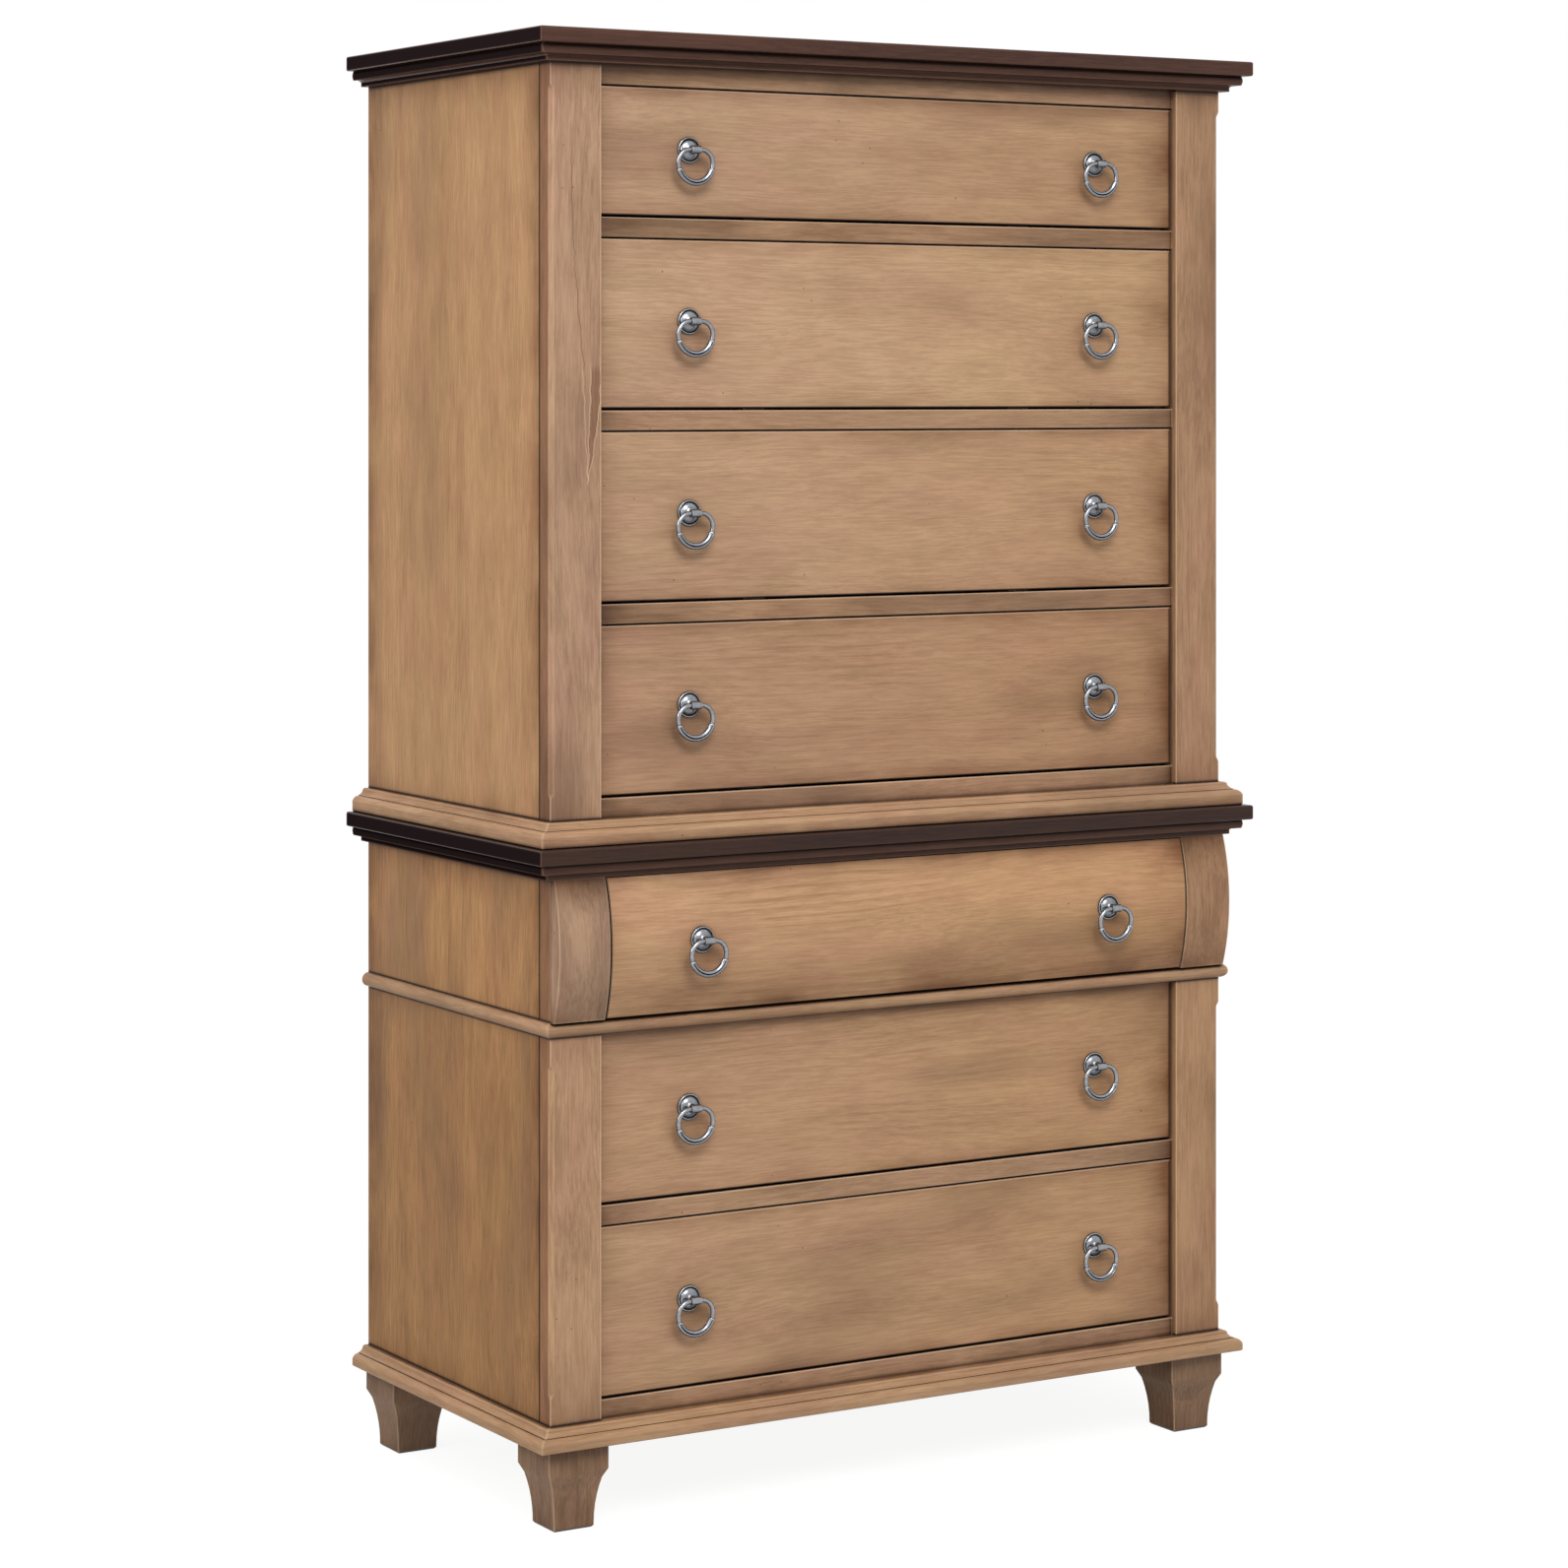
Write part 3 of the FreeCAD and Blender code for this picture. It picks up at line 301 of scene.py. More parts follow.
def cover(node_name, material, eased=0.0):
    """Gives a piece of the frame its finish, and sands its sharp edges to so small a round."""
    piece = frame["nodes"][node_name]
    piece.material_slots[0].material = material
    if eased:
        piece.modifiers.new("joined_faces", "WELD").merge_threshold = 0.00001
        edges = piece.modifiers.new("eased_edges", "BEVEL")
        edges.limit_method = "ANGLE"
        edges.angle_limit = math.radians(35)
        edges.width = eased
        edges.segments = 3
        piece.modifiers.new("even_shading", "WEIGHTED_NORMAL")


# Gathered glaze and painted shade: a board darkens, cloudy, towards its edges, as glaze left there and as
# painted shade under and beside its neighbours.
gathered_glaze_and_shade, given, result = effect(
    "Gathered glazing and shade",
    {"Position": ("Vector", None), "Middle": ("Vector", None), "Half": ("Vector", None),
     "Reach": ("Vector", (1.0, 1.0, 1.0)), "Weight": ("Vector", (0.0, 0.0, 0.0))},
    {"Haze": "Float"},
)
off_middle = vector(gathered_glaze_and_shade, "SUBTRACT", given["Position"], given["Middle"])
from_middle = vector(gathered_glaze_and_shade, "ABSOLUTE", off_middle, (0, 0, 0))
inset = vector(gathered_glaze_and_shade, "DIVIDE", vector(gathered_glaze_and_shade, "SUBTRACT", given["Half"], from_middle), given["Reach"])
nearness = vector(gathered_glaze_and_shade, "SUBTRACT", (1, 1, 1), vector(gathered_glaze_and_shade, "MINIMUM", inset, (1, 1, 1)))
nearness = vector(gathered_glaze_and_shade, "MULTIPLY", nearness, vector(gathered_glaze_and_shade, "MULTIPLY", nearness, given["Weight"]))
sides = axes_of(gathered_glaze_and_shade, nearness)
most = number(gathered_glaze_and_shade, "MAXIMUM", number(gathered_glaze_and_shade, "MAXIMUM", sides["X"], sides["Y"]), sides["Z"])
cloudy = spread(gathered_glaze_and_shade, noise(gathered_glaze_and_shade, given["Position"], (8.0, 8.0, 11.0), 3.0), 0.3, 0.7, 0.25, 1.3)
gathered_glaze_and_shade.links.new(times(gathered_glaze_and_shade, most, cloudy, clamp=True), result["Haze"])


def recolour(material, change):
    """Changes the colour of a finished material by change(tree, colour, position)."""
    tree = material.node_tree
    socket = tree.nodes["Principled BSDF"].inputs["Base Color"]
    position = tree.nodes["Texture Coordinate"].outputs["Object"]
    tree.links.new(change(tree, socket.links[0].from_socket, position), socket)


def gather_glaze_and_shade(material, box, reach, weight, glaze_and_shade_tint=(0.42, 0.31, 0.21)):
    """Darkens a board towards its edges with glazing and painted shade, over so far a reach and with so much
    weight along X, Y and Z.
    """
    low, high = box

    def hazed(tree, colour, position):
        inputs = {"Position": position, "Middle": (low + high) / 2, "Half": (high - low) / 2}
        inputs.update({"Reach": reach, "Weight": weight})
        haze = use(tree, gathered_glaze_and_shade, inputs)["Haze"]
        return mixed(tree, haze, colour, (*glaze_and_shade_tint, 1.0), "MULTIPLY")

    recolour(material, hazed)


def seam_line(material, places, axis="Z", reach=0.0034):
    """Draws dark lines where a piece meets its neighbours along an axis: glazing in the joints, and painted
    shadow under overhangs and in grooves.
    """

    def lined(tree, colour, position):
        along = axes_of(tree, position)[axis]
        for place in places:
            away = number(tree, "ABSOLUTE", number(tree, "SUBTRACT", along, place))
            colour = mixed(tree, spread(tree, away, reach, reach * 0.4, 0.0, 0.92), colour, tint(44, 28, 20))
        return colour

    recolour(material, lined)


UPPER_SEAMS = [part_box("crown_moulding")[0].z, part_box("upper_base_moulding")[1].z]
LOWER_SEAMS = [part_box("lower_top_moulding")[0].z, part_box("base_moulding")[1].z]
LOWER_SEAMS += [corner.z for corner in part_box("waist_bead")]
SEAMS = {"upper": UPPER_SEAMS, "lower": LOWER_SEAMS}
GROOVE = [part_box("upper_post_left")[1].y]
BOARD_WIDTH = 0.118
SIDE_PATCHES = {"upper": 0.42, "lower": 0.6}
SIDE_PALE = {"upper": (204, 160, 115), "lower": (184, 137, 88)}
SIDE_BROWN = {"upper": (160, 120, 82), "lower": (128, 91, 53)}


def glued_boards(tree, colour, position):
    """Makes each board of a glued-up panel a slightly different brown."""
    across_boards = axes_of(tree, position)["Y"]
    board = number(tree, "FLOOR", number(tree, "DIVIDE", across_boards, BOARD_WIDTH))
    tone = add_node(tree, "TexWhiteNoise", {"W": board}, noise_dimensions="1D").outputs["Value"]
    return mixed(tree, times(tree, tone, 0.75), colour, (0.84, 0.82, 0.8, 1.0), "MULTIPLY")


def lighten_above(material, low, high, paler):
    """Painted light: between two heights the colour is lightened more and more, so the wood above is paler,
    as where more light falls from above.
    """

    def lit_above(tree, colour, position):
        up = axes_of(tree, position)["Z"]
        return mixed(tree, spread(tree, up, low, high), colour, (*paler, 1.0), "MULTIPLY")

    recolour(material, lit_above)


for tier, start in (("upper", (0.0, 0.0, 0.0)), ("lower", (3.1, 0.4, 0.2))):
    panel_maple = stained_maple(f"{tier}_side_maple", UPRIGHT, start, ring_strength=0.1, mottle_strength=0.3,
                                patch_strength=SIDE_PATCHES[tier], pale=tint(*SIDE_PALE[tier]),
                                brown=tint(*SIDE_BROWN[tier]))
    recolour(panel_maple, glued_boards)
    if tier == "lower":
        # Painted light: the lower panels paler towards their tops.
        lighten_above(panel_maple, low=0.48, high=0.72, paler=(1.3, 1.33, 1.42))
    gather_glaze_and_shade(panel_maple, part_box(f"{tier}_side_left"), reach=(1.0, 0.06, 0.07), weight=(0.0, 0.7, 0.7))
    seam_line(panel_maple, SEAMS[tier])
    seam_line(panel_maple, GROOVE, axis="Y", reach=0.0028)
    for side in ("left", "right"):
        cover(f"{tier}_side_{side}", panel_maple, 0.0006)

# ---------------------------------------------------------------- posts
# Solid maple corner posts with stopped chamfers. They take the stain a little rosier, and browner on the
# side next to the panel. The right post is painted darker and more golden for the light, and glaze
# and painted shade darken their ends.


def side_faces(tree):
    """1 on faces that look to the left or right, 0 on the others and on chamfers."""
    normal = add_node(tree, "NewGeometry", {}).outputs["Normal"]
    sideways = axes_of(tree, normal)["X"]
    return spread(tree, number(tree, "ABSOLUTE", sideways), 0.8, 0.95)


def looks_outward(tree, position):
    """1 on faces that look away from the middle of the case, 0 on those that look towards it."""
    normal = add_node(tree, "NewGeometry", {}).outputs["Normal"]
    same_way = vector(tree, "MULTIPLY", normal, position)
    return number(tree, "GREATER_THAN", axes_of(tree, same_way)["X"], 0.0)


def browner_cheek(tree, colour, position):
    cheek = times(tree, side_faces(tree), looks_outward(tree, position))
    return mixed(tree, cheek, colour, (0.68, 0.56, 0.45, 1.0), "MULTIPLY")


def light_across_pair(left, right):
    """Painted light: tints the left and the right piece of a pair apart, the left cooler and the right darker
    and more golden, as the light falls from the left.
    """

    def toned(tree, colour, position):
        along = axes_of(tree, position)["X"]
        tone = mixed(tree, number(tree, "GREATER_THAN", along, 0.0), (*left, 1.0), (*right, 1.0))
        return mixed(tree, 1.0, colour, tone, "MULTIPLY")

    return toned


def less_glaze_and_shade_inside(material):
    """The faces next to the drawers get less of the glazing and its painted shade."""
    tree = material.node_tree
    position = tree.nodes["Texture Coordinate"].outputs["Object"]
    looks_inward = number(tree, "SUBTRACT", 1.0, looks_outward(tree, position))
    inner = times(tree, side_faces(tree), looks_inward)
    tree.links.new(spread(tree, inner, 0.0, 1.0, 1.0, 0.3), tree.nodes["Group"].inputs["Glaze strength"])


STREAK_TOP = Vector((-0.4735, 0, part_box("drawer_2_front")[1].z + 0.11))
STREAK_LENGTH = 0.275
STREAK_BEND = 0.25
FEATHER_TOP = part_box("drawer_3_front")[1].z + 0.085
FEATHER_LENGTH = 0.14
# Each edge of the feather: its place at the top, and how it slants and bends on the way down.
FEATHER_EDGES = {"outer": (-0.4584, 0.053, 0.0), "left": (-0.446, -0.035, 0.0), "right": (-0.4325, 0.0, -0.9)}


def feather_figure(tree, colour, position):
    """A hairline streak in the left post that runs into a brown feather of grain with pale edges."""
    axes = axes_of(tree, position)
    wander = spread(tree, noise(tree, position, (0.0, 0.0, 45.0), 3.0, 0.6), 0.3, 0.7, -0.0013, 0.0013)
    along_x = number(tree, "ADD", axes["X"], wander)

    def right_of(down, place, slope, bend):
        path = number(tree, "MULTIPLY_ADD", number(tree, "MULTIPLY_ADD", down, bend, slope), down, place)
        return number(tree, "SUBTRACT", along_x, path)

    down = number(tree, "SUBTRACT", STREAK_TOP.z, axes["Z"])
    away = number(tree, "ABSOLUTE", right_of(down, STREAK_TOP.x, 0.0, STREAK_BEND))
    foot = spread(tree, down, STREAK_LENGTH, STREAK_LENGTH - 0.01)
    ends = times(tree, spread(tree, down, -0.03, 0.03), foot)
    hairline = times(tree, spread(tree, away, 0.0009, 0.0002), ends)
    colour = mixed(tree, times(tree, hairline, 0.6), colour, tint(92, 64, 46))

    down = number(tree, "SUBTRACT", FEATHER_TOP, axes["Z"])
    foot = spread(tree, down, FEATHER_LENGTH + 0.012, FEATHER_LENGTH)
    ends = times(tree, spread(tree, down, 0.0, 0.015), foot)
    beyond = {edge: right_of(down, *shape) for edge, shape in FEATHER_EDGES.items()}
    inside = spread(tree, beyond["left"], 0.0, 0.0012)
    inside = times(tree, inside, spread(tree, beyond["right"], 0.0, -0.0012))
    colour = mixed(tree, times(tree, inside, ends), colour, (0.68, 0.61, 0.56, 1.0), "MULTIPLY")
    for distance in beyond.values():
        pale_line = spread(tree, number(tree, "ABSOLUTE", distance), 0.0011, 0.0003)
        colour = mixed(tree, times(tree, pale_line, ends, 0.45), colour, tint(222, 190, 158))
    return colour


# Painted light: the left post of each tier cooler, the right one darker and more golden.
POST_LIGHT_TONES = {"upper": ((0.95, 0.95, 1.0), (0.94, 0.9, 0.86)),
              "lower": ((1.04, 1.02, 1.0), (0.98, 0.93, 0.84))}
for tier, start in (("upper", (1.7, 0.6, 0.0)), ("lower", (5.2, 0.2, 0.5))):
    post_maple = stained_maple(f"{tier}_post_maple", UPRIGHT, start, ring_strength=0.2, patch_strength=0.7,
                               mottle_strength=0.45, pale=tint(193, 155, 122), brown=tint(146, 111, 82))
    recolour(post_maple, browner_cheek)
    recolour(post_maple, light_across_pair(*POST_LIGHT_TONES[tier]))
    less_glaze_and_shade_inside(post_maple)
    if tier == "upper":
        recolour(post_maple, feather_figure)
    seam_line(post_maple, SEAMS[tier])
    seam_line(post_maple, GROOVE, axis="Y", reach=0.0022)
    gather_glaze_and_shade(post_maple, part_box(f"{tier}_post_left"), reach=(1.0, 1.0, 0.09), weight=(0.0, 0.0, 0.5))
    for side in ("left", "right"):
        cover(f"{tier}_post_{side}", post_maple, 0.002)

# ---------------------------------------------------------------- bow blocks
# Short upright blocks beside the bowed drawer, sawn to its curve. Glaze and painted shade lie dark at
# their ends, glaze in the joint with the post, and the right block is painted darker for the light.
block_maple = stained_maple("bow_block_maple", UPRIGHT, (7.9, 0.1, 0.3), ring_strength=0.3,
                            patch_strength=0.65, glaze_strength=1.2, mottle_strength=0.6,
                            smudge=tint(98, 76, 62), pale=tint(186, 150, 120), brown=tint(140, 108, 82))
gather_glaze_and_shade(block_maple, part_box("bow_blocks"), reach=(1.0, 1.0, 0.06), weight=(0.0, 0.0, 0.9))
POST_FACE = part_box("upper_post_left")[0].y


def joint_line(tree, colour, position):
    """The dark line where a block is glued to its post."""
    depth = axes_of(tree, position)["Y"]
    ahead = number(tree, "SUBTRACT", POST_FACE, depth)
    return mixed(tree, spread(tree, ahead, 0.003, 0.0014, 0.0, 0.9), colour, tint(40, 24, 16))


recolour(block_maple, joint_line)
# Painted light: the right block darker and more golden than the left.
recolour(block_maple, light_across_pair(left=(0.97, 0.98, 0.99), right=(0.94, 0.88, 0.77)))
cover("bow_blocks", block_maple, 0.0014)

# ---------------------------------------------------------------- rails
# Maple drawer rails, tenoned between the posts, with the drawer stops glued behind them. Their upper
# front edges are rubbed pale and carry a painted highlight, their lower ones painted shade, and glaze
# and painted shade darken their ends.
rail_maple = stained_maple("rail_maple", ALONG_X, (0.7, 0.2, 0.9), ring_strength=0.25, patch_strength=0.7,
                           smudge=tint(84, 63, 46), pale=tint(188, 150, 116), brown=tint(144, 110, 80))


def edge_highlight_and_shade(material, steeper_than=0.1):
    """Paints the upper front edges pale, as rub and as a highlight where light catches them, and the lower
    ones dark with painted shade.

    An edge is where the surface looks up or down more steeply than is given, from 0 to 1."""

    def rubbed_and_highlit(tree, colour, position):
        normal = add_node(tree, "NewGeometry", {}).outputs["True Normal"]
        upward = axes_of(tree, normal)["Z"]
        above_face = spread(tree, upward, steeper_than, steeper_than + 0.1)
        on_edge = times(tree, above_face, spread(tree, upward, 0.99, 0.95))
        # Painted highlight, with real rub: upward-looking edges paler.
        colour = mixed(tree, times(tree, on_edge, 0.3), colour, tint(232, 198, 168))
        # Painted shade: downward-looking edges darker.
        below_face = spread(tree, upward, -steeper_than, -steeper_than - 0.1, 0.0, 0.85)
        return mixed(tree, below_face, colour, tint(44, 28, 20))

    recolour(material, rubbed_and_highlit)


def browner_rails(tree, colour, position):
    """The rails under the first and the third drawer came from a browner, smudged board."""
    axes = axes_of(tree, position)
    cloud = spread(tree, noise(tree, position, (7.0, 0.0, 60.0), 3.0, 0.6), 0.35, 0.65, 0.25, 1.0)
    for drawer, weight in ((1, 0.8), (3, 0.6)):
        middle = (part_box(f"drawer_{drawer}_front")[0].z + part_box(f"drawer_{drawer + 1}_front")[1].z) / 2
        away = number(tree, "ABSOLUTE", number(tree, "SUBTRACT", axes["Z"], middle))
        near = spread(tree, away, 0.03, 0.025)
        colour = mixed(tree, times(tree, near, cloud, weight), colour, (0.66, 0.58, 0.52, 1.0), "MULTIPLY")
    return colour


recolour(rail_maple, browner_rails)
gather_glaze_and_shade(rail_maple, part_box("upper_rails"), reach=(0.14, 1.0, 1.0), weight=(0.8, 0.0, 0.0),
             glaze_and_shade_tint=(0.3, 0.22, 0.17))
edge_highlight_and_shade(rail_maple)
for tier in ("upper", "lower"):
    cover(f"{tier}_rails", rail_maple, 0.0014)

# ---------------------------------------------------------------- base mouldings and bead
# Moulded maple lengths, mitred at the two front corners and glued round the cases: one at the foot
# of each case, and a half-round bead at the waist.


def past_mitre(tree, axes):
    """How far a place on a moulding lies past the mitre, on the side length."""
    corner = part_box("upper_post_left")[0]
    out_side = number(tree, "ADD", number(tree, "ABSOLUTE", axes["X"]), corner.x)
    out_front = number(tree, "SUBTRACT", corner.y, axes["Y"])
    return number(tree, "SUBTRACT", out_side, out_front)


def round_mitres(start=(0.0, 0.0, 0.0)):
    """Grain along X on the front length of a moulding, and along Y on its two side lengths."""

    def lay(tree, position):
        axes = axes_of(tree, position)
        on_side = number(tree, "GREATER_THAN", past_mitre(tree, axes), 0.0)
        swapped = add_node(tree, "CombineXYZ", {"X": axes["Y"], "Y": axes["X"], "Z": axes["Z"]}).outputs[0]
        lengths = {"Factor": on_side, 4: position, 5: swapped}
        return vector(tree, "ADD", add_node(tree, "Mix", lengths, data_type="VECTOR").outputs[1], start)

    return lay


# Painted highlight, with real rub: a thin pale line down each mitre.
def rubbed_and_highlit_mitres(tree, colour, position):
    axes = axes_of(tree, position)
    away = number(tree, "ABSOLUTE", past_mitre(tree, axes))
    rubbed_and_highlit = times(tree, spread(tree, away, 0.001, 0.0002), 0.12)
    return mixed(tree, rubbed_and_highlit, colour, tint(232, 202, 170))


moulding_maple = new_wood("moulding_maple", maple, round_mitres((0.3, 0.8, 0.1)), ring_strength=0.2,
                          patch_strength=0.5, glaze_strength=1.4, edge_strength=0.2,
                          pale=tint(192, 154, 118), brown=tint(154, 117, 83))
recolour(moulding_maple, rubbed_and_highlit_mitres)
flatter_sides(moulding_maple, *SATIN_SHINE)
seam_line(moulding_maple, [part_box("upper_base_moulding")[0].z], reach=0.0026)
for piece in ("upper_base_moulding", "base_moulding", "waist_bead"):
    cover(piece, moulding_maple)

# ---------------------------------------------------------------- feet
# Four maple blocks, sawn to a hollow taper below a bevelled shoulder and screwed up into the glue
# blocks. They are stained browner than the cases.
cover("feet", stained_maple("foot_maple", UPRIGHT, (9.3, 0.7, 0.4), ring_strength=0.3, patch_strength=0.6,
                            glaze_strength=1.2, pale=tint(160, 127, 97), brown=tint(108, 80, 57)), 0.001)

# ---------------------------------------------------------------- tops and cornices
# The two tops and the cornices under them are maple, stained espresso and rubbed a little on the edges,
# with painted highlights on those edges and painted shade in the creases. Each cornice is mitred
# round three sides and glued under its top.
espresso, given, result = effect(
    "Espresso stain",
    {"Vector": ("Vector", None), "Position": ("Vector", None), "Red": ("Color", tint(66, 44, 35)),
     "Dark": ("Color", tint(42, 28, 25))},
    {"Color": "Color", "Roughness": "Float", "Height": "Float"},
)
wood = use(espresso, figure, {"Vector": given["Vector"]})
corner = use(espresso, glaze, {"Vector": given["Position"]})
edge = use(espresso, sanded_and_highlit, {})
depth = times(espresso, spread(espresso, wood["Lines"], 0.3, 0.7), 0.5)
streaks = times(espresso, spread(espresso, wood["Streaks"], 0.3, 0.7), 0.5)
depth = number(espresso, "ADD", depth, streaks)
stain = mixed(espresso, depth, given["Red"], given["Dark"])
stain = mixed(espresso, times(espresso, side_faces(espresso), 0.95), stain, tint(34, 26, 28))
# Painted shade, with real glaze: darker lines in corners and creases.
stain = mixed(espresso, times(espresso, corner["Line"], 0.8), stain, tint(12, 8, 8))
# Painted highlight, with real rub: paler outer edges.
stain = mixed(espresso, times(espresso, edge["Edge"], 0.4), stain, tint(150, 112, 92))
espresso.links.new(stain, result["Color"])
espresso.links.new(spread(espresso, wood["Lines"], 0.2, 0.8, 0.3, 0.42), result["Roughness"])
espresso.links.new(wood["Lines"], result["Height"])


def espresso_maple(name, lay, **values):
    """Espresso stain, which is left without a shine on end grain."""
    material = new_wood(name, espresso, lay, **values)
    tree = material.node_tree
    shine = tree.nodes["Principled BSDF"].inputs["Specular IOR Level"]
    tree.links.new(spread(tree, side_faces(tree), 0.0, 1.0, 0.17, 0.0), shine)
    return material


upper_top_maple = espresso_maple("upper_top_maple", lying(ALONG_X), red=tint(97, 64, 52),
                                 dark=tint(62, 42, 35))
cover("upper_top", upper_top_maple, 0.0014)
cover("lower_top", espresso_maple("lower_top_maple", lying(ALONG_X)), 0.0014)
cornice_maple = espresso_maple("cornice_maple", round_mitres(), red=tint(102, 68, 53), dark=tint(66, 44, 36))
cover("crown_moulding", cornice_maple)
cover("lower_top_moulding", cornice_maple)

# ---------------------------------------------------------------- backs, floors and runners
# Thin stained backs that lie in rebates, planed poplar floors, and maple runners, guides and
# kickers fixed inside the cases and left without a finish.
bare, given, result = effect(
    "Bare wood",
    {"Vector": ("Vector", None), "Position": ("Vector", None), "Pale": ("Color", tint(214, 186, 146)),
     "Dark": ("Color", tint(176, 140, 98)), "Ring strength": ("Float", 0.4)},
    {"Color": "Color", "Roughness": "Float", "Height": "Float"},
)
wood = use(bare, figure, {"Vector": given["Vector"], "Ring spacing": 0.014})
corner = use(bare, glaze, {"Vector": given["Position"]})
depth = times(bare, spread(bare, wood["Lines"], 0.3, 0.7), 0.35)
streaks = times(bare, spread(bare, wood["Streaks"], 0.3, 0.7), 0.3)
rings = times(bare, wood["Rings"], given["Ring strength"])
depth = number(bare, "ADD", number(bare, "ADD", depth, streaks), rings, clamp=True)
stain = mixed(bare, depth, given["Pale"], given["Dark"])
stain = mixed(bare, times(bare, wood["Pores"], 0.35), stain, tint(122, 92, 62))
# Painted shade: darker in corners and creases, from the occlusion line.
stain = mixed(bare, times(bare, corner["Line"], 0.35), stain, tint(80, 56, 38))
bare.links.new(stain, result["Color"])
bare.links.new(spread(bare, wood["Lines"], 0.2, 0.8, 0.55, 0.75), result["Roughness"])
bare.links.new(wood["Lines"], result["Height"])


back_board = new_wood("back_board", bare, lying(UPRIGHT), pale=tint(150, 116, 84), dark=tint(112, 82, 58),
                      ring_strength=0.6)
floor_poplar = new_wood("floor_poplar", bare, lying(ALONG_X, (2.0, 0.3, 0.1)), pale=tint(206, 186, 146),
                        dark=tint(164, 140, 98))
runner_maple = new_wood("runner_maple", bare, lying(ALONG_Y, (4.0, 0.1, 0.6)))
for tier in ("upper", "lower"):
    cover(f"{tier}_back", back_board)
    cover(f"{tier}_floor", floor_poplar)
    cover(f"{tier}_runners", runner_maple)

# ---------------------------------------------------------------- drawer fronts
# Wide maple fronts, 20 mm thick, with all edges eased. Each comes from a board of its own, and the
# bowed one was sawn from thick stock, so its grain shows loops. Glaze and painted shade darken their
# ends and edges, a painted highlight lies on their top edges, and painted light tints them cooler to
# the left and lightens the bowed one's top.
FRONT_PALE = {1: (193, 156, 120), 2: (203, 166, 128), 3: (197, 159, 122), 4: (189, 149, 113),
              5: (202, 160, 118), 6: (197, 157, 117), 7: (195, 156, 117)}
BROWN_SHARE = (0.82, 0.79, 0.75)
FRONT_RINGS = {1: 0.25, 2: 0.15, 3: 0.22, 4: 0.25, 5: 0.5, 6: 0.25, 7: 0.2}
FRONT_PATCHES = {1: 0.65, 2: 0.35, 3: 0.4, 4: 0.65, 5: 0.6, 6: 0.55, 7: 0.6}
LOG_STEPS = (2.3, 0.07, 0.11)
BOWED_DRAWER = 5
STEEPEST_OF_BOW = 0.62
FRONT_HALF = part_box("drawer_1_front")[1].x
LESS_ON_LEFT = Vector((0.04, 0, 0))
ONLY_BELOW = Vector((0, 0, 0.4))


def end_line(tree, colour, position):
    """The dark line of glazing and painted shade at the right-hand end of a front, beside the gap to the
    post.
    """
    along = axes_of(tree, position)["X"]
    from_end = number(tree, "SUBTRACT", FRONT_HALF, along)
    return mixed(tree, spread(tree, from_end, 0.0045, 0.0028, 0.0, 0.7), colour, tint(40, 24, 16))


BOW_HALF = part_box(f"drawer_{BOWED_DRAWER}_front")[1].x


def bow_end_lines(tree, colour, position):
    """The bowed front fits closely between its blocks, with a fine dark line of painted shade at both ends,
    where the gaps are.
    """
    along = number(tree, "ABSOLUTE", axes_of(tree, position)["X"])
    from_end = number(tree, "SUBTRACT", BOW_HALF, along)
    return mixed(tree, spread(tree, from_end, 0.0024, 0.0012, 0.0, 0.85), colour, tint(40, 24, 16))


def light_tint_across(tree, colour, position):
    """Painted light: the colour is tinted a little cooler and rosier on the left and more golden on the
    right, as the light falls across.
    """
    along = axes_of(tree, position)["X"]
    tone = mixed(tree, spread(tree, along, -0.4, 0.4), (1.0, 1.01, 1.09, 1.0), (0.99, 0.97, 0.94, 1.0))
    return mixed(tree, 1.0, colour, tone, "MULTIPLY")


for number_of_drawer, pale in FRONT_PALE.items():
    brown = [value * share for value, share in zip(pale, BROWN_SHARE)]
    node_name = f"drawer_{number_of_drawer}_front"
    place_in_log = [number_of_drawer * step for step in LOG_STEPS]
    front_maple = stained_maple(f"front_{number_of_drawer}_maple", ALONG_X, place_in_log,
                                ring_strength=FRONT_RINGS[number_of_drawer], mottle_strength=0.25,
                                patch_strength=FRONT_PATCHES[number_of_drawer], edge_strength=0.5,
                                smudge=tint(124, 92, 66), pale=tint(*[value * 1.02 for value in pale]),
                                brown=tint(*brown))
    recolour(front_maple, light_tint_across)
    low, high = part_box(node_name)
    gather_glaze_and_shade(front_maple, (low - LESS_ON_LEFT, high), reach=(0.09, 1.0, 0.028), weight=(1.0, 0.0, 0.55))
    if number_of_drawer == BOWED_DRAWER:
        # Painted shade: the lower part of the bowed front darker still.
        gather_glaze_and_shade(front_maple, (low, high + ONLY_BELOW), reach=(1.0, 1.0, 0.09), weight=(0.0, 0.0, 0.7))
        # Painted light: the top band of the bowed front paler.
        lighten_above(front_maple, low=high.z - 0.1, high=high.z - 0.04, paler=(1.07, 1.06, 1.06))
        recolour(front_maple, bow_end_lines)
        edge_highlight_and_shade(front_maple, STEEPEST_OF_BOW)
    else:
        recolour(front_maple, end_line)
        edge_highlight_and_shade(front_maple)
    cover(node_name, front_maple, 0.001)

# ---------------------------------------------------------------- drawer boxes
# Maple sides dovetailed into the front, with a back between them and a thin bottom that slides
# into grooves. Sanded and left pale.
box_maple = new_wood("box_maple", bare, lying(ALONG_Y, (6.0, 0.5, 0.2)), pale=tint(226, 196, 154),
                     dark=tint(190, 154, 112))
for number_of_drawer in FRONT_PALE:
    cover(f"drawer_{number_of_drawer}_box", box_maple)

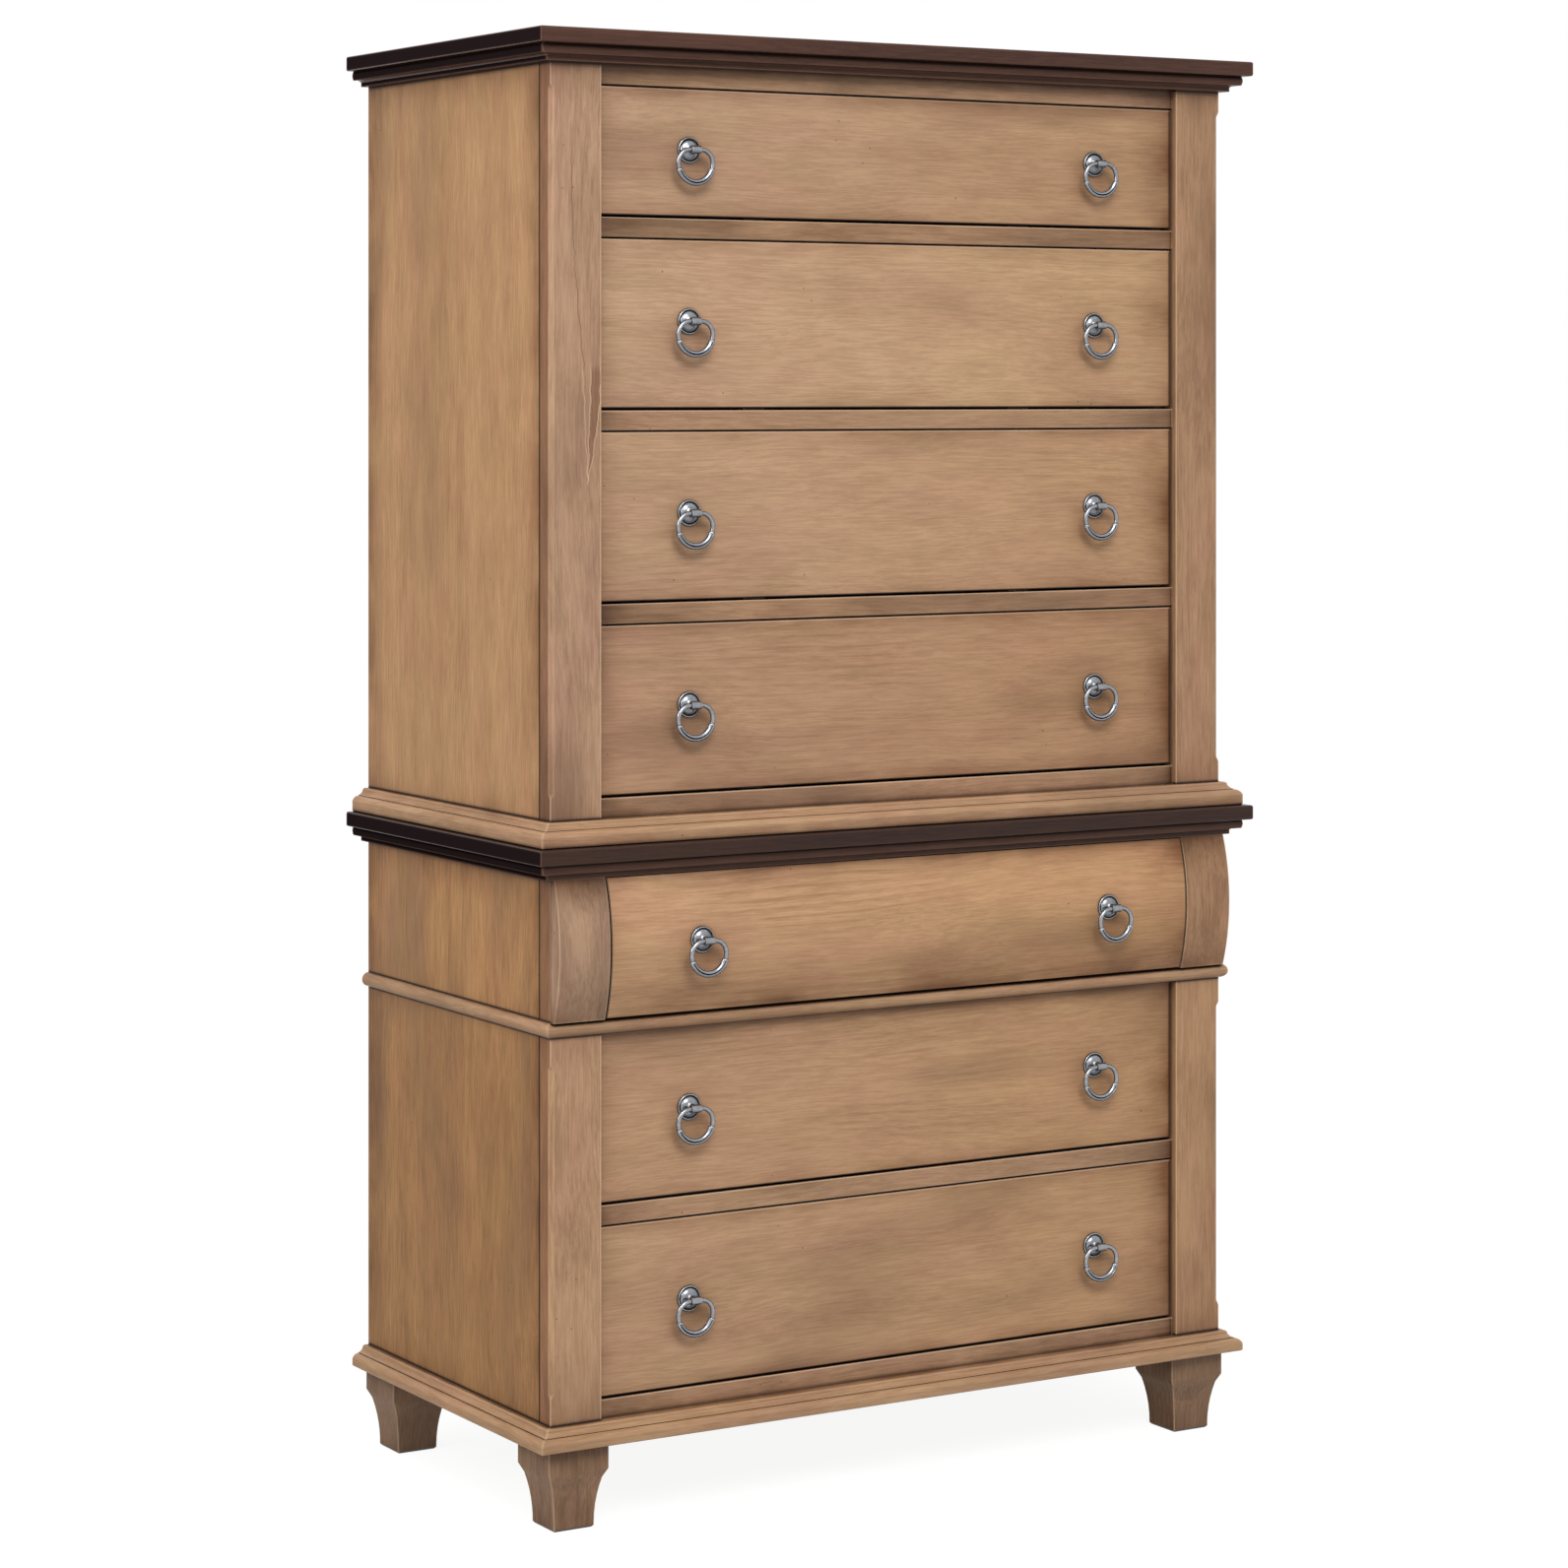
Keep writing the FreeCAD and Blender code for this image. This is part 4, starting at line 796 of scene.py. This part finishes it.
# ---------------------------------------------------------------- pull mounts
# Cast pewter roses with a rolled rim and a domed middle. A turned neck carries the barrel that the
# ring hangs in. Each is held by one screw through the drawer front.
PULL_REACH = 0.017


def clear_selection():
    bpy.ops.object.select_all(action="DESELECT")


def select_only(piece):
    clear_selection()
    piece.select_set(True)
    bpy.context.view_layer.objects.active = piece


def own_copy(master):
    """Copies a finished piece, with a mesh of its own."""
    made = master.copy()
    made.data = master.data.copy()
    bpy.context.scene.collection.objects.link(made)
    return made


def joined(pieces, name):
    """Joins pieces into one whose place is in its mesh."""
    clear_selection()
    for piece in pieces:
        piece.select_set(True)
    bpy.context.view_layer.objects.active = pieces[0]
    bpy.ops.object.join()
    bpy.ops.object.transform_apply(location=True, rotation=True, scale=True)
    pieces[0].name = name
    return pieces[0]


def finish_all_over(piece, metal):
    piece.data.materials.clear()
    piece.data.materials.append(metal)


def finish_mesh(smooth_below):
    """Merges doubles, turns faces outwards and shades the active piece smooth."""
    bpy.ops.object.mode_set(mode="EDIT")
    bpy.ops.mesh.select_all(action="SELECT")
    bpy.ops.mesh.remove_doubles(threshold=0.00001)
    bpy.ops.mesh.normals_make_consistent(inside=False)
    bpy.ops.object.mode_set(mode="OBJECT")
    bpy.ops.object.shade_smooth_by_angle(angle=math.radians(smooth_below))


def turned(name, profile, turn, sides):
    """Turns a profile of (distance along the axis, radius) from a ring of points, closed at both ends."""
    clear_selection()
    first_along, first_radius = profile[0]
    bpy.ops.mesh.primitive_circle_add(vertices=sides, radius=first_radius, fill_type="NGON",
                                      location=(0, 0, first_along))
    piece = bpy.context.object
    piece.name = name
    bpy.ops.object.mode_set(mode="EDIT")
    bpy.ops.mesh.select_all(action="SELECT")
    along, radius = first_along, first_radius
    for next_along, next_radius in profile[1:]:
        bpy.ops.mesh.extrude_region_move(TRANSFORM_OT_translate={"value": (0, 0, next_along - along)})
        scale = next_radius / radius
        bpy.ops.transform.resize(value=(scale, scale, 1), center_override=(0, 0, next_along))
        along, radius = next_along, next_radius
    bpy.ops.object.mode_set(mode="OBJECT")
    bpy.ops.object.transform_apply(location=True, rotation=False, scale=False)
    piece.rotation_euler = turn
    bpy.ops.object.transform_apply(location=False, rotation=True, scale=False)
    return piece


def arc_steps(centre_along, centre_radius, size, start, end, steps):
    """Points of a profile round an arc, from one angle to another."""
    angles = [math.radians(start + (end - start) * i / steps) for i in range(steps + 1)]
    return [(centre_along + size * math.sin(a), centre_radius + size * math.cos(a)) for a in angles]


pewter, tree, shader, position = new_material("antique_pewter")
shader.inputs["Metallic"].default_value = 1.0
patina_and_shade = use(tree, glaze, {"Vector": position, "Close reach": 0.004, "Wide reach": 0.012})
rubbed_and_highlit = use(tree, sanded_and_highlit, {"Reach": 0.0012})
mottle = spread(tree, noise(tree, position, (300.0, 300.0, 300.0), 3.0), 0.3, 0.7)
turned_away = add_node(tree, "LayerWeight", {"Blend": 0.5}).outputs["Facing"]
bright = mixed(tree, mottle, tint(158, 161, 166), tint(138, 141, 146))
# Painted reflection: darker towards the outline, where the metal turns away from the viewer, as if it
# reflected dark surroundings.
bright = mixed(tree, spread(tree, turned_away, 0.25, 0.8, 0.0, 0.9), bright, tint(34, 36, 40))
facing = axes_of(tree, tree.nodes["Texture Coordinate"].outputs["Normal"])
# Painted shade: faces that look down or to the right are darker.
shade_down_and_right = number(tree, "MAXIMUM", spread(tree, facing["Z"], 0.1, -0.7), spread(tree, facing["X"], 0.1, 0.8))
bright = mixed(tree, times(tree, shade_down_and_right, 0.65), bright, tint(60, 62, 66))
# Patina and painted shade: darker in and around the hollows.
bright = mixed(tree, times(tree, patina_and_shade["Haze"], 0.9), bright, tint(34, 34, 38))
bright = mixed(tree, times(tree, patina_and_shade["Line"], 0.95), bright, tint(12, 12, 14))
# Painted highlight, with wear: paler edges.
bright = mixed(tree, times(tree, rubbed_and_highlit["Edge"], 0.4), bright, tint(214, 216, 220))
scratches = noise(tree, position, (2600.0, 500.0, 500.0), 2.0)
polish = spread(tree, mottle, 0.0, 1.0, 0.2, 0.28)
finish_surface(tree, shader, bright, polish, scratches, relief_depth=0.00002, specular=0.5)

TOWARD_VIEWER = (math.radians(90), 0, 0)
rose_profile = [(0.0, 0.0153)]
rose_profile += arc_steps(0.0011, 0.0149, 0.0011, -60, 100, 8)
rose_profile += [(0.0011, 0.0141), (0.0009, 0.0137)]
rose_profile += [(0.0012, 0.0134), (0.0022, 0.0130), (0.0034, 0.0119), (0.0046, 0.0101), (0.0055, 0.0079)]
rose_profile += [(0.0062, 0.0058), (0.0072, 0.0044), (0.0088, 0.0036), (0.0110, 0.0034), (0.0130, 0.0038)]
rose = turned("rose", rose_profile, TOWARD_VIEWER, sides=40)

BARREL_HALF = 0.007
BORE_RADIUS = 0.0034
barrel_profile = [(-0.0060, BORE_RADIUS), (-0.0068, BORE_RADIUS), (-BARREL_HALF, 0.0042), (-0.0067, 0.0048)]
barrel_profile += [(-0.0058, 0.00498), (-0.003, 0.0051), (0.0, 0.00515)]
barrel_profile += [(-along, radius) for along, radius in reversed(barrel_profile[:-1])]
barrel = turned("barrel", barrel_profile, (0, math.radians(90), 0), sides=32)
barrel.location = (0, -PULL_REACH, 0)
mount_master = joined([rose, barrel], "pull_mount")
finish_mesh(smooth_below=40)

for joint in frame["joints"]:
    if not joint["name"].endswith("_left_swing"):
        continue
    drawer = joint["parent"]
    pivot = joint["pos_m"]
    pair = []
    for side in (-1, 1):
        mount = own_copy(mount_master)
        mount.location = (side * abs(pivot[0]), pivot[1] + PULL_REACH, pivot[2])
        pair.append(mount)
    mounts = joined(pair, f"{drawer}_pull_mounts")
    finish_all_over(mounts, pewter)
    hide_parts(f"{drawer}_pulls")
    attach(mounts, drawer)
bpy.data.objects.remove(mount_master)

# ---------------------------------------------------------------- pull rings
# Cast pewter rings. A plain round limb passes through the barrel, and below a collar on each side
# the ring thickens to a grip with two ridges and a groove between them, on the front and the back.
ROD_RADIUS = 0.0032
LIMB_RADIUS = 0.0029
STRAIGHT_HALF = 0.008
SHOULDER = 0.0164
SWEEP = STRAIGHT_HALF + SHOULDER
COLLAR_TURN = 17
INSIDE_COLLAR = 3
# Each step of the collar: so many degrees further round, and so many times as thick.
COLLAR_STEPS = [(0.3, 1.2), (0.5, 1.12), (1.6, 1.05), (1.6, 1.0), (1.6, 0.95), (0.5, 0.88), (0.3, 0.82)]
GRIP_HALF_WIDTH = 0.0041
GRIP_HALF_DEPTH = 0.0032
GROOVE_HALF_DEPTH = 0.0019
RIDGE_SPACING = 0.0012


def rod_section(name, place, radius):
    """A ring of points round X, left selected in edit mode, from which a limb is drawn out."""
    clear_selection()
    bpy.ops.mesh.primitive_circle_add(vertices=24, radius=radius, fill_type="NOTHING",
                                      location=place, rotation=(0, math.radians(90), 0))
    bpy.context.object.name = name
    bpy.ops.object.transform_apply(location=True, rotation=True, scale=False)
    bpy.ops.object.mode_set(mode="EDIT")
    bpy.ops.mesh.select_all(action="SELECT")
    return bpy.context.object


def sweep_round(centre, degrees, steps):
    """Carries the selected points clockwise round a centre, seen from the front."""
    axis = (0, -1 if degrees > 0 else 1, 0)
    bpy.ops.mesh.spin(steps=steps, angle=math.radians(abs(degrees)), center=centre, axis=axis)


RING_CENTRE = (0, 0, -SHOULDER)
upper_limb = rod_section("upper_limb", (0, 0, 0), ROD_RADIUS)
bpy.ops.mesh.extrude_region_move(TRANSFORM_OT_translate={"value": (BARREL_HALF, 0, 0)})
bpy.ops.mesh.extrude_region_move(TRANSFORM_OT_translate={"value": (STRAIGHT_HALF - BARREL_HALF, 0, 0)})
narrow = LIMB_RADIUS / ROD_RADIUS
bpy.ops.transform.resize(value=(1, narrow, narrow), center_override=(STRAIGHT_HALF, 0, 0))
sweep_round((STRAIGHT_HALF, 0, -SHOULDER), 90, steps=12)
sweep_round(RING_CENTRE, COLLAR_TURN, steps=3)
turn_so_far = COLLAR_TURN
for step, swell in COLLAR_STEPS:
    sweep_round(RING_CENTRE, step, steps=1)
    turn_so_far += step
    angle = math.radians(turn_so_far)
    middle = (SWEEP * math.cos(angle), 0, -SHOULDER - SWEEP * math.sin(angle))
    bpy.ops.transform.resize(value=(swell, swell, swell), center_override=middle)
bpy.ops.mesh.edge_face_add()
bpy.ops.object.mode_set(mode="OBJECT")

lower_limb = rod_section("lower_limb", (0, 0, -SHOULDER - SWEEP), GRIP_HALF_DEPTH)
bpy.ops.mesh.select_all(action="DESELECT")
bpy.ops.object.mode_set(mode="OBJECT")
for point in lower_limb.data.vertices:
    across = point.co.z + SHOULDER + SWEEP
    point.select = abs(across) < RIDGE_SPACING / 4
bpy.ops.object.mode_set(mode="EDIT")
press = GROOVE_HALF_DEPTH / GRIP_HALF_DEPTH
bpy.ops.transform.resize(value=(1, press, 1), center_override=(0, 0, -SHOULDER - SWEEP))
bpy.ops.mesh.select_all(action="SELECT")
widen = GRIP_HALF_WIDTH / GRIP_HALF_DEPTH
bpy.ops.transform.resize(value=(1, 1, widen), center_override=(0, 0, -SHOULDER - SWEEP))
sweep_round(RING_CENTRE, COLLAR_TURN + INSIDE_COLLAR - 90, steps=18)
bpy.ops.mesh.edge_face_add()
bpy.ops.object.mode_set(mode="OBJECT")

ring_master = joined([upper_limb, lower_limb], "pull_ring")
mirror = ring_master.modifiers.new("other_half", "MIRROR")
mirror.use_clip = True
bpy.ops.object.modifier_apply(modifier=mirror.name)
finish_mesh(smooth_below=50)

for joint in frame["joints"]:
    if joint["name"].startswith("ring"):
        ring = own_copy(ring_master)
        ring.name = f"{joint['child']}_pull"
        select_only(ring)
        ring.location = joint["pos_m"]
        bpy.ops.object.transform_apply(location=True, rotation=False, scale=False)
        finish_all_over(ring, pewter)
        side = joint["child"].rsplit("_", 1)[1]
        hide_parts(f"{joint['parent']}_ring_{side}")
        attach(ring, joint["child"])
bpy.data.objects.remove(ring_master)

# ---------------------------------------------------------------- screws
# Zinc-plated slotted screws with rounded heads. One holds each pull from inside its drawer, and a
# row of them holds each back in its rebates.
zinc, tree, shader, position = new_material("zinc_plate")
shader.inputs["Metallic"].default_value = 1.0
dull = noise(tree, position, (400.0, 400.0, 400.0), 3.0)
plated = mixed(tree, dull, tint(176, 176, 170), tint(148, 148, 144))
polish = spread(tree, dull, 0.2, 0.8, 0.3, 0.42)
finish_surface(tree, shader, plated, polish, dull, relief_depth=0.00002, specular=0.5)

HEAD_RADIUS = 0.0042
SLOT_WIDTH = 0.001
SLOT_TURN = math.radians(37)
AWAY_FROM_VIEWER = (math.radians(-90), 0, 0)
head_profile = [(0.0, HEAD_RADIUS), (0.0008, HEAD_RADIUS), (0.0015, 0.0039), (0.0021, 0.0031)]
head_profile += [(0.0024, 0.0018)]
screw_master = turned("screw_head", head_profile, AWAY_FROM_VIEWER, sides=24)
finish_mesh(smooth_below=35)
bpy.ops.mesh.primitive_cube_add(size=1, location=(0, 0.0022, 0), scale=(3 * HEAD_RADIUS, 0.002, SLOT_WIDTH))
slot_cutter = bpy.context.object
slot_cut = screw_master.modifiers.new("slot", "BOOLEAN")
slot_cut.object = slot_cutter
slot_cut.operation = "DIFFERENCE"
select_only(screw_master)
bpy.ops.object.modifier_apply(modifier=slot_cut.name)
bpy.data.objects.remove(slot_cutter)


def drive_screws(name, places, body):
    """Copies the screw head to each place, each slot at its own turn, as one piece that rides a body."""
    heads = []
    for count, place in enumerate(places):
        head = own_copy(screw_master)
        head.rotation_euler = (0, count * SLOT_TURN, 0)
        head.location = place
        heads.append(head)
    row = joined(heads, name)
    finish_all_over(row, zinc)
    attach(row, body)


for joint in frame["joints"]:
    if joint["name"].endswith("_left_swing"):
        drawer = joint["parent"]
        inner_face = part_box(f"{drawer}_front")[1].y
        apart, height = abs(joint["pos_m"][0]), joint["pos_m"][2]
        places = [(x, inner_face, height) for x in (-apart, apart)]
        drive_screws(f"{drawer}_pull_screws", places, drawer)

SCREW_INSET = 0.012
for tier in ("upper", "lower"):
    low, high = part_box(f"{tier}_back")
    left, right = low.x + SCREW_INSET, high.x - SCREW_INSET
    bottom, top = low.z + SCREW_INSET, high.z - SCREW_INSET
    places = [(x, high.y, bottom + (top - bottom) * step / 4) for x in (left, right) for step in range(5)]
    places += [(left + (right - left) * step / 4, high.y, z) for z in (bottom, top) for step in (1, 2, 3)]
    drive_screws(f"{tier}_back_screws", places, "case")
bpy.data.objects.remove(screw_master)

# ---------------------------------------------------------------- studio
# A plain white floor and surroundings, a large soft light high in front of the left corner, and a
# weaker one from the left side. The camera stands level, with its picture shifted down.
clear_selection()
bpy.ops.mesh.primitive_plane_add(size=60, location=(0, 0, 0))
studio_floor = bpy.context.object
studio_floor.name = "studio_floor"
floor_white, tree, shader, position = new_material("floor_white")
shader.inputs["Roughness"].default_value = 0.9
shader.inputs["Specular IOR Level"].default_value = 0.1
lit = add_node(tree, "Emission", {"Color": (1, 1, 1, 1), "Strength": 1.2})
rays = add_node(tree, "LightPath", {}).outputs
floor_tone = mixed(tree, rays["Is Camera Ray"], (0.42, 0.42, 0.42, 1), (0.86, 0.86, 0.86, 1))
tree.links.new(floor_tone, shader.inputs["Base Color"])
seen = number(tree, "MAXIMUM", times(tree, rays["Is Camera Ray"], 0.75), rays["Is Glossy Ray"])
blend = add_node(tree, "MixShader", {0: seen, 1: shader.outputs[0], 2: lit.outputs[0]})
tree.links.new(blend.outputs[0], tree.nodes["Material Output"].inputs["Surface"])
studio_floor.data.materials.append(floor_white)

AMBIENT = 0.45
world = bpy.data.worlds.new("studio")
bpy.context.scene.world = world
world.use_nodes = True
sky = world.node_tree
rays = add_node(sky, "LightPath", {}).outputs
seen = number(sky, "MAXIMUM", rays["Is Glossy Ray"], rays["Is Transmission Ray"])
seen = number(sky, "MAXIMUM", rays["Is Camera Ray"], seen)
strength = number(sky, "MULTIPLY_ADD", seen, 1.0 - AMBIENT, AMBIENT)
sky.nodes["Background"].inputs["Color"].default_value = (1, 1, 1, 1)
sky.links.new(strength, sky.nodes["Background"].inputs["Strength"])


def soft_light(name, power, size, place, target):
    lamp = bpy.data.lights.new(name, "AREA")
    lamp.energy = power
    lamp.shape = "RECTANGLE"
    lamp.size, lamp.size_y = size
    holder = bpy.data.objects.new(name, lamp)
    bpy.context.scene.collection.objects.link(holder)
    holder.location = place
    direction = Vector(target) - Vector(place)
    holder.rotation_euler = direction.to_track_quat("-Z", "Y").to_euler()


soft_light("high_light", power=315, size=(4.0, 3.0), place=(-2.0, -5.6, 5.6), target=(0, 0, 1.0))
soft_light("side_light", power=60, size=(2.0, 2.0), place=(-4.0, -0.8, 3.0), target=(0, 0, 1.2))

CAMERA_PLACE = (-2.814, -4.6117, 1.381)
CAMERA_TURN = math.radians(31.09)
FOCAL_LENGTH = 94.16
PICTURE_SHIFT = -0.2505
camera_data = bpy.data.cameras.new("camera")
camera_data.sensor_width = 36
camera_data.lens = FOCAL_LENGTH
camera_data.shift_y = PICTURE_SHIFT
camera_data.clip_end = 200
camera = bpy.data.objects.new("camera", camera_data)
bpy.context.scene.collection.objects.link(camera)
camera.location = CAMERA_PLACE
camera.rotation_euler = (math.radians(90), 0, -CAMERA_TURN)
bpy.context.scene.camera = camera
bpy.context.scene.view_settings.view_transform = "Standard"

bpy.context.view_layer.update()
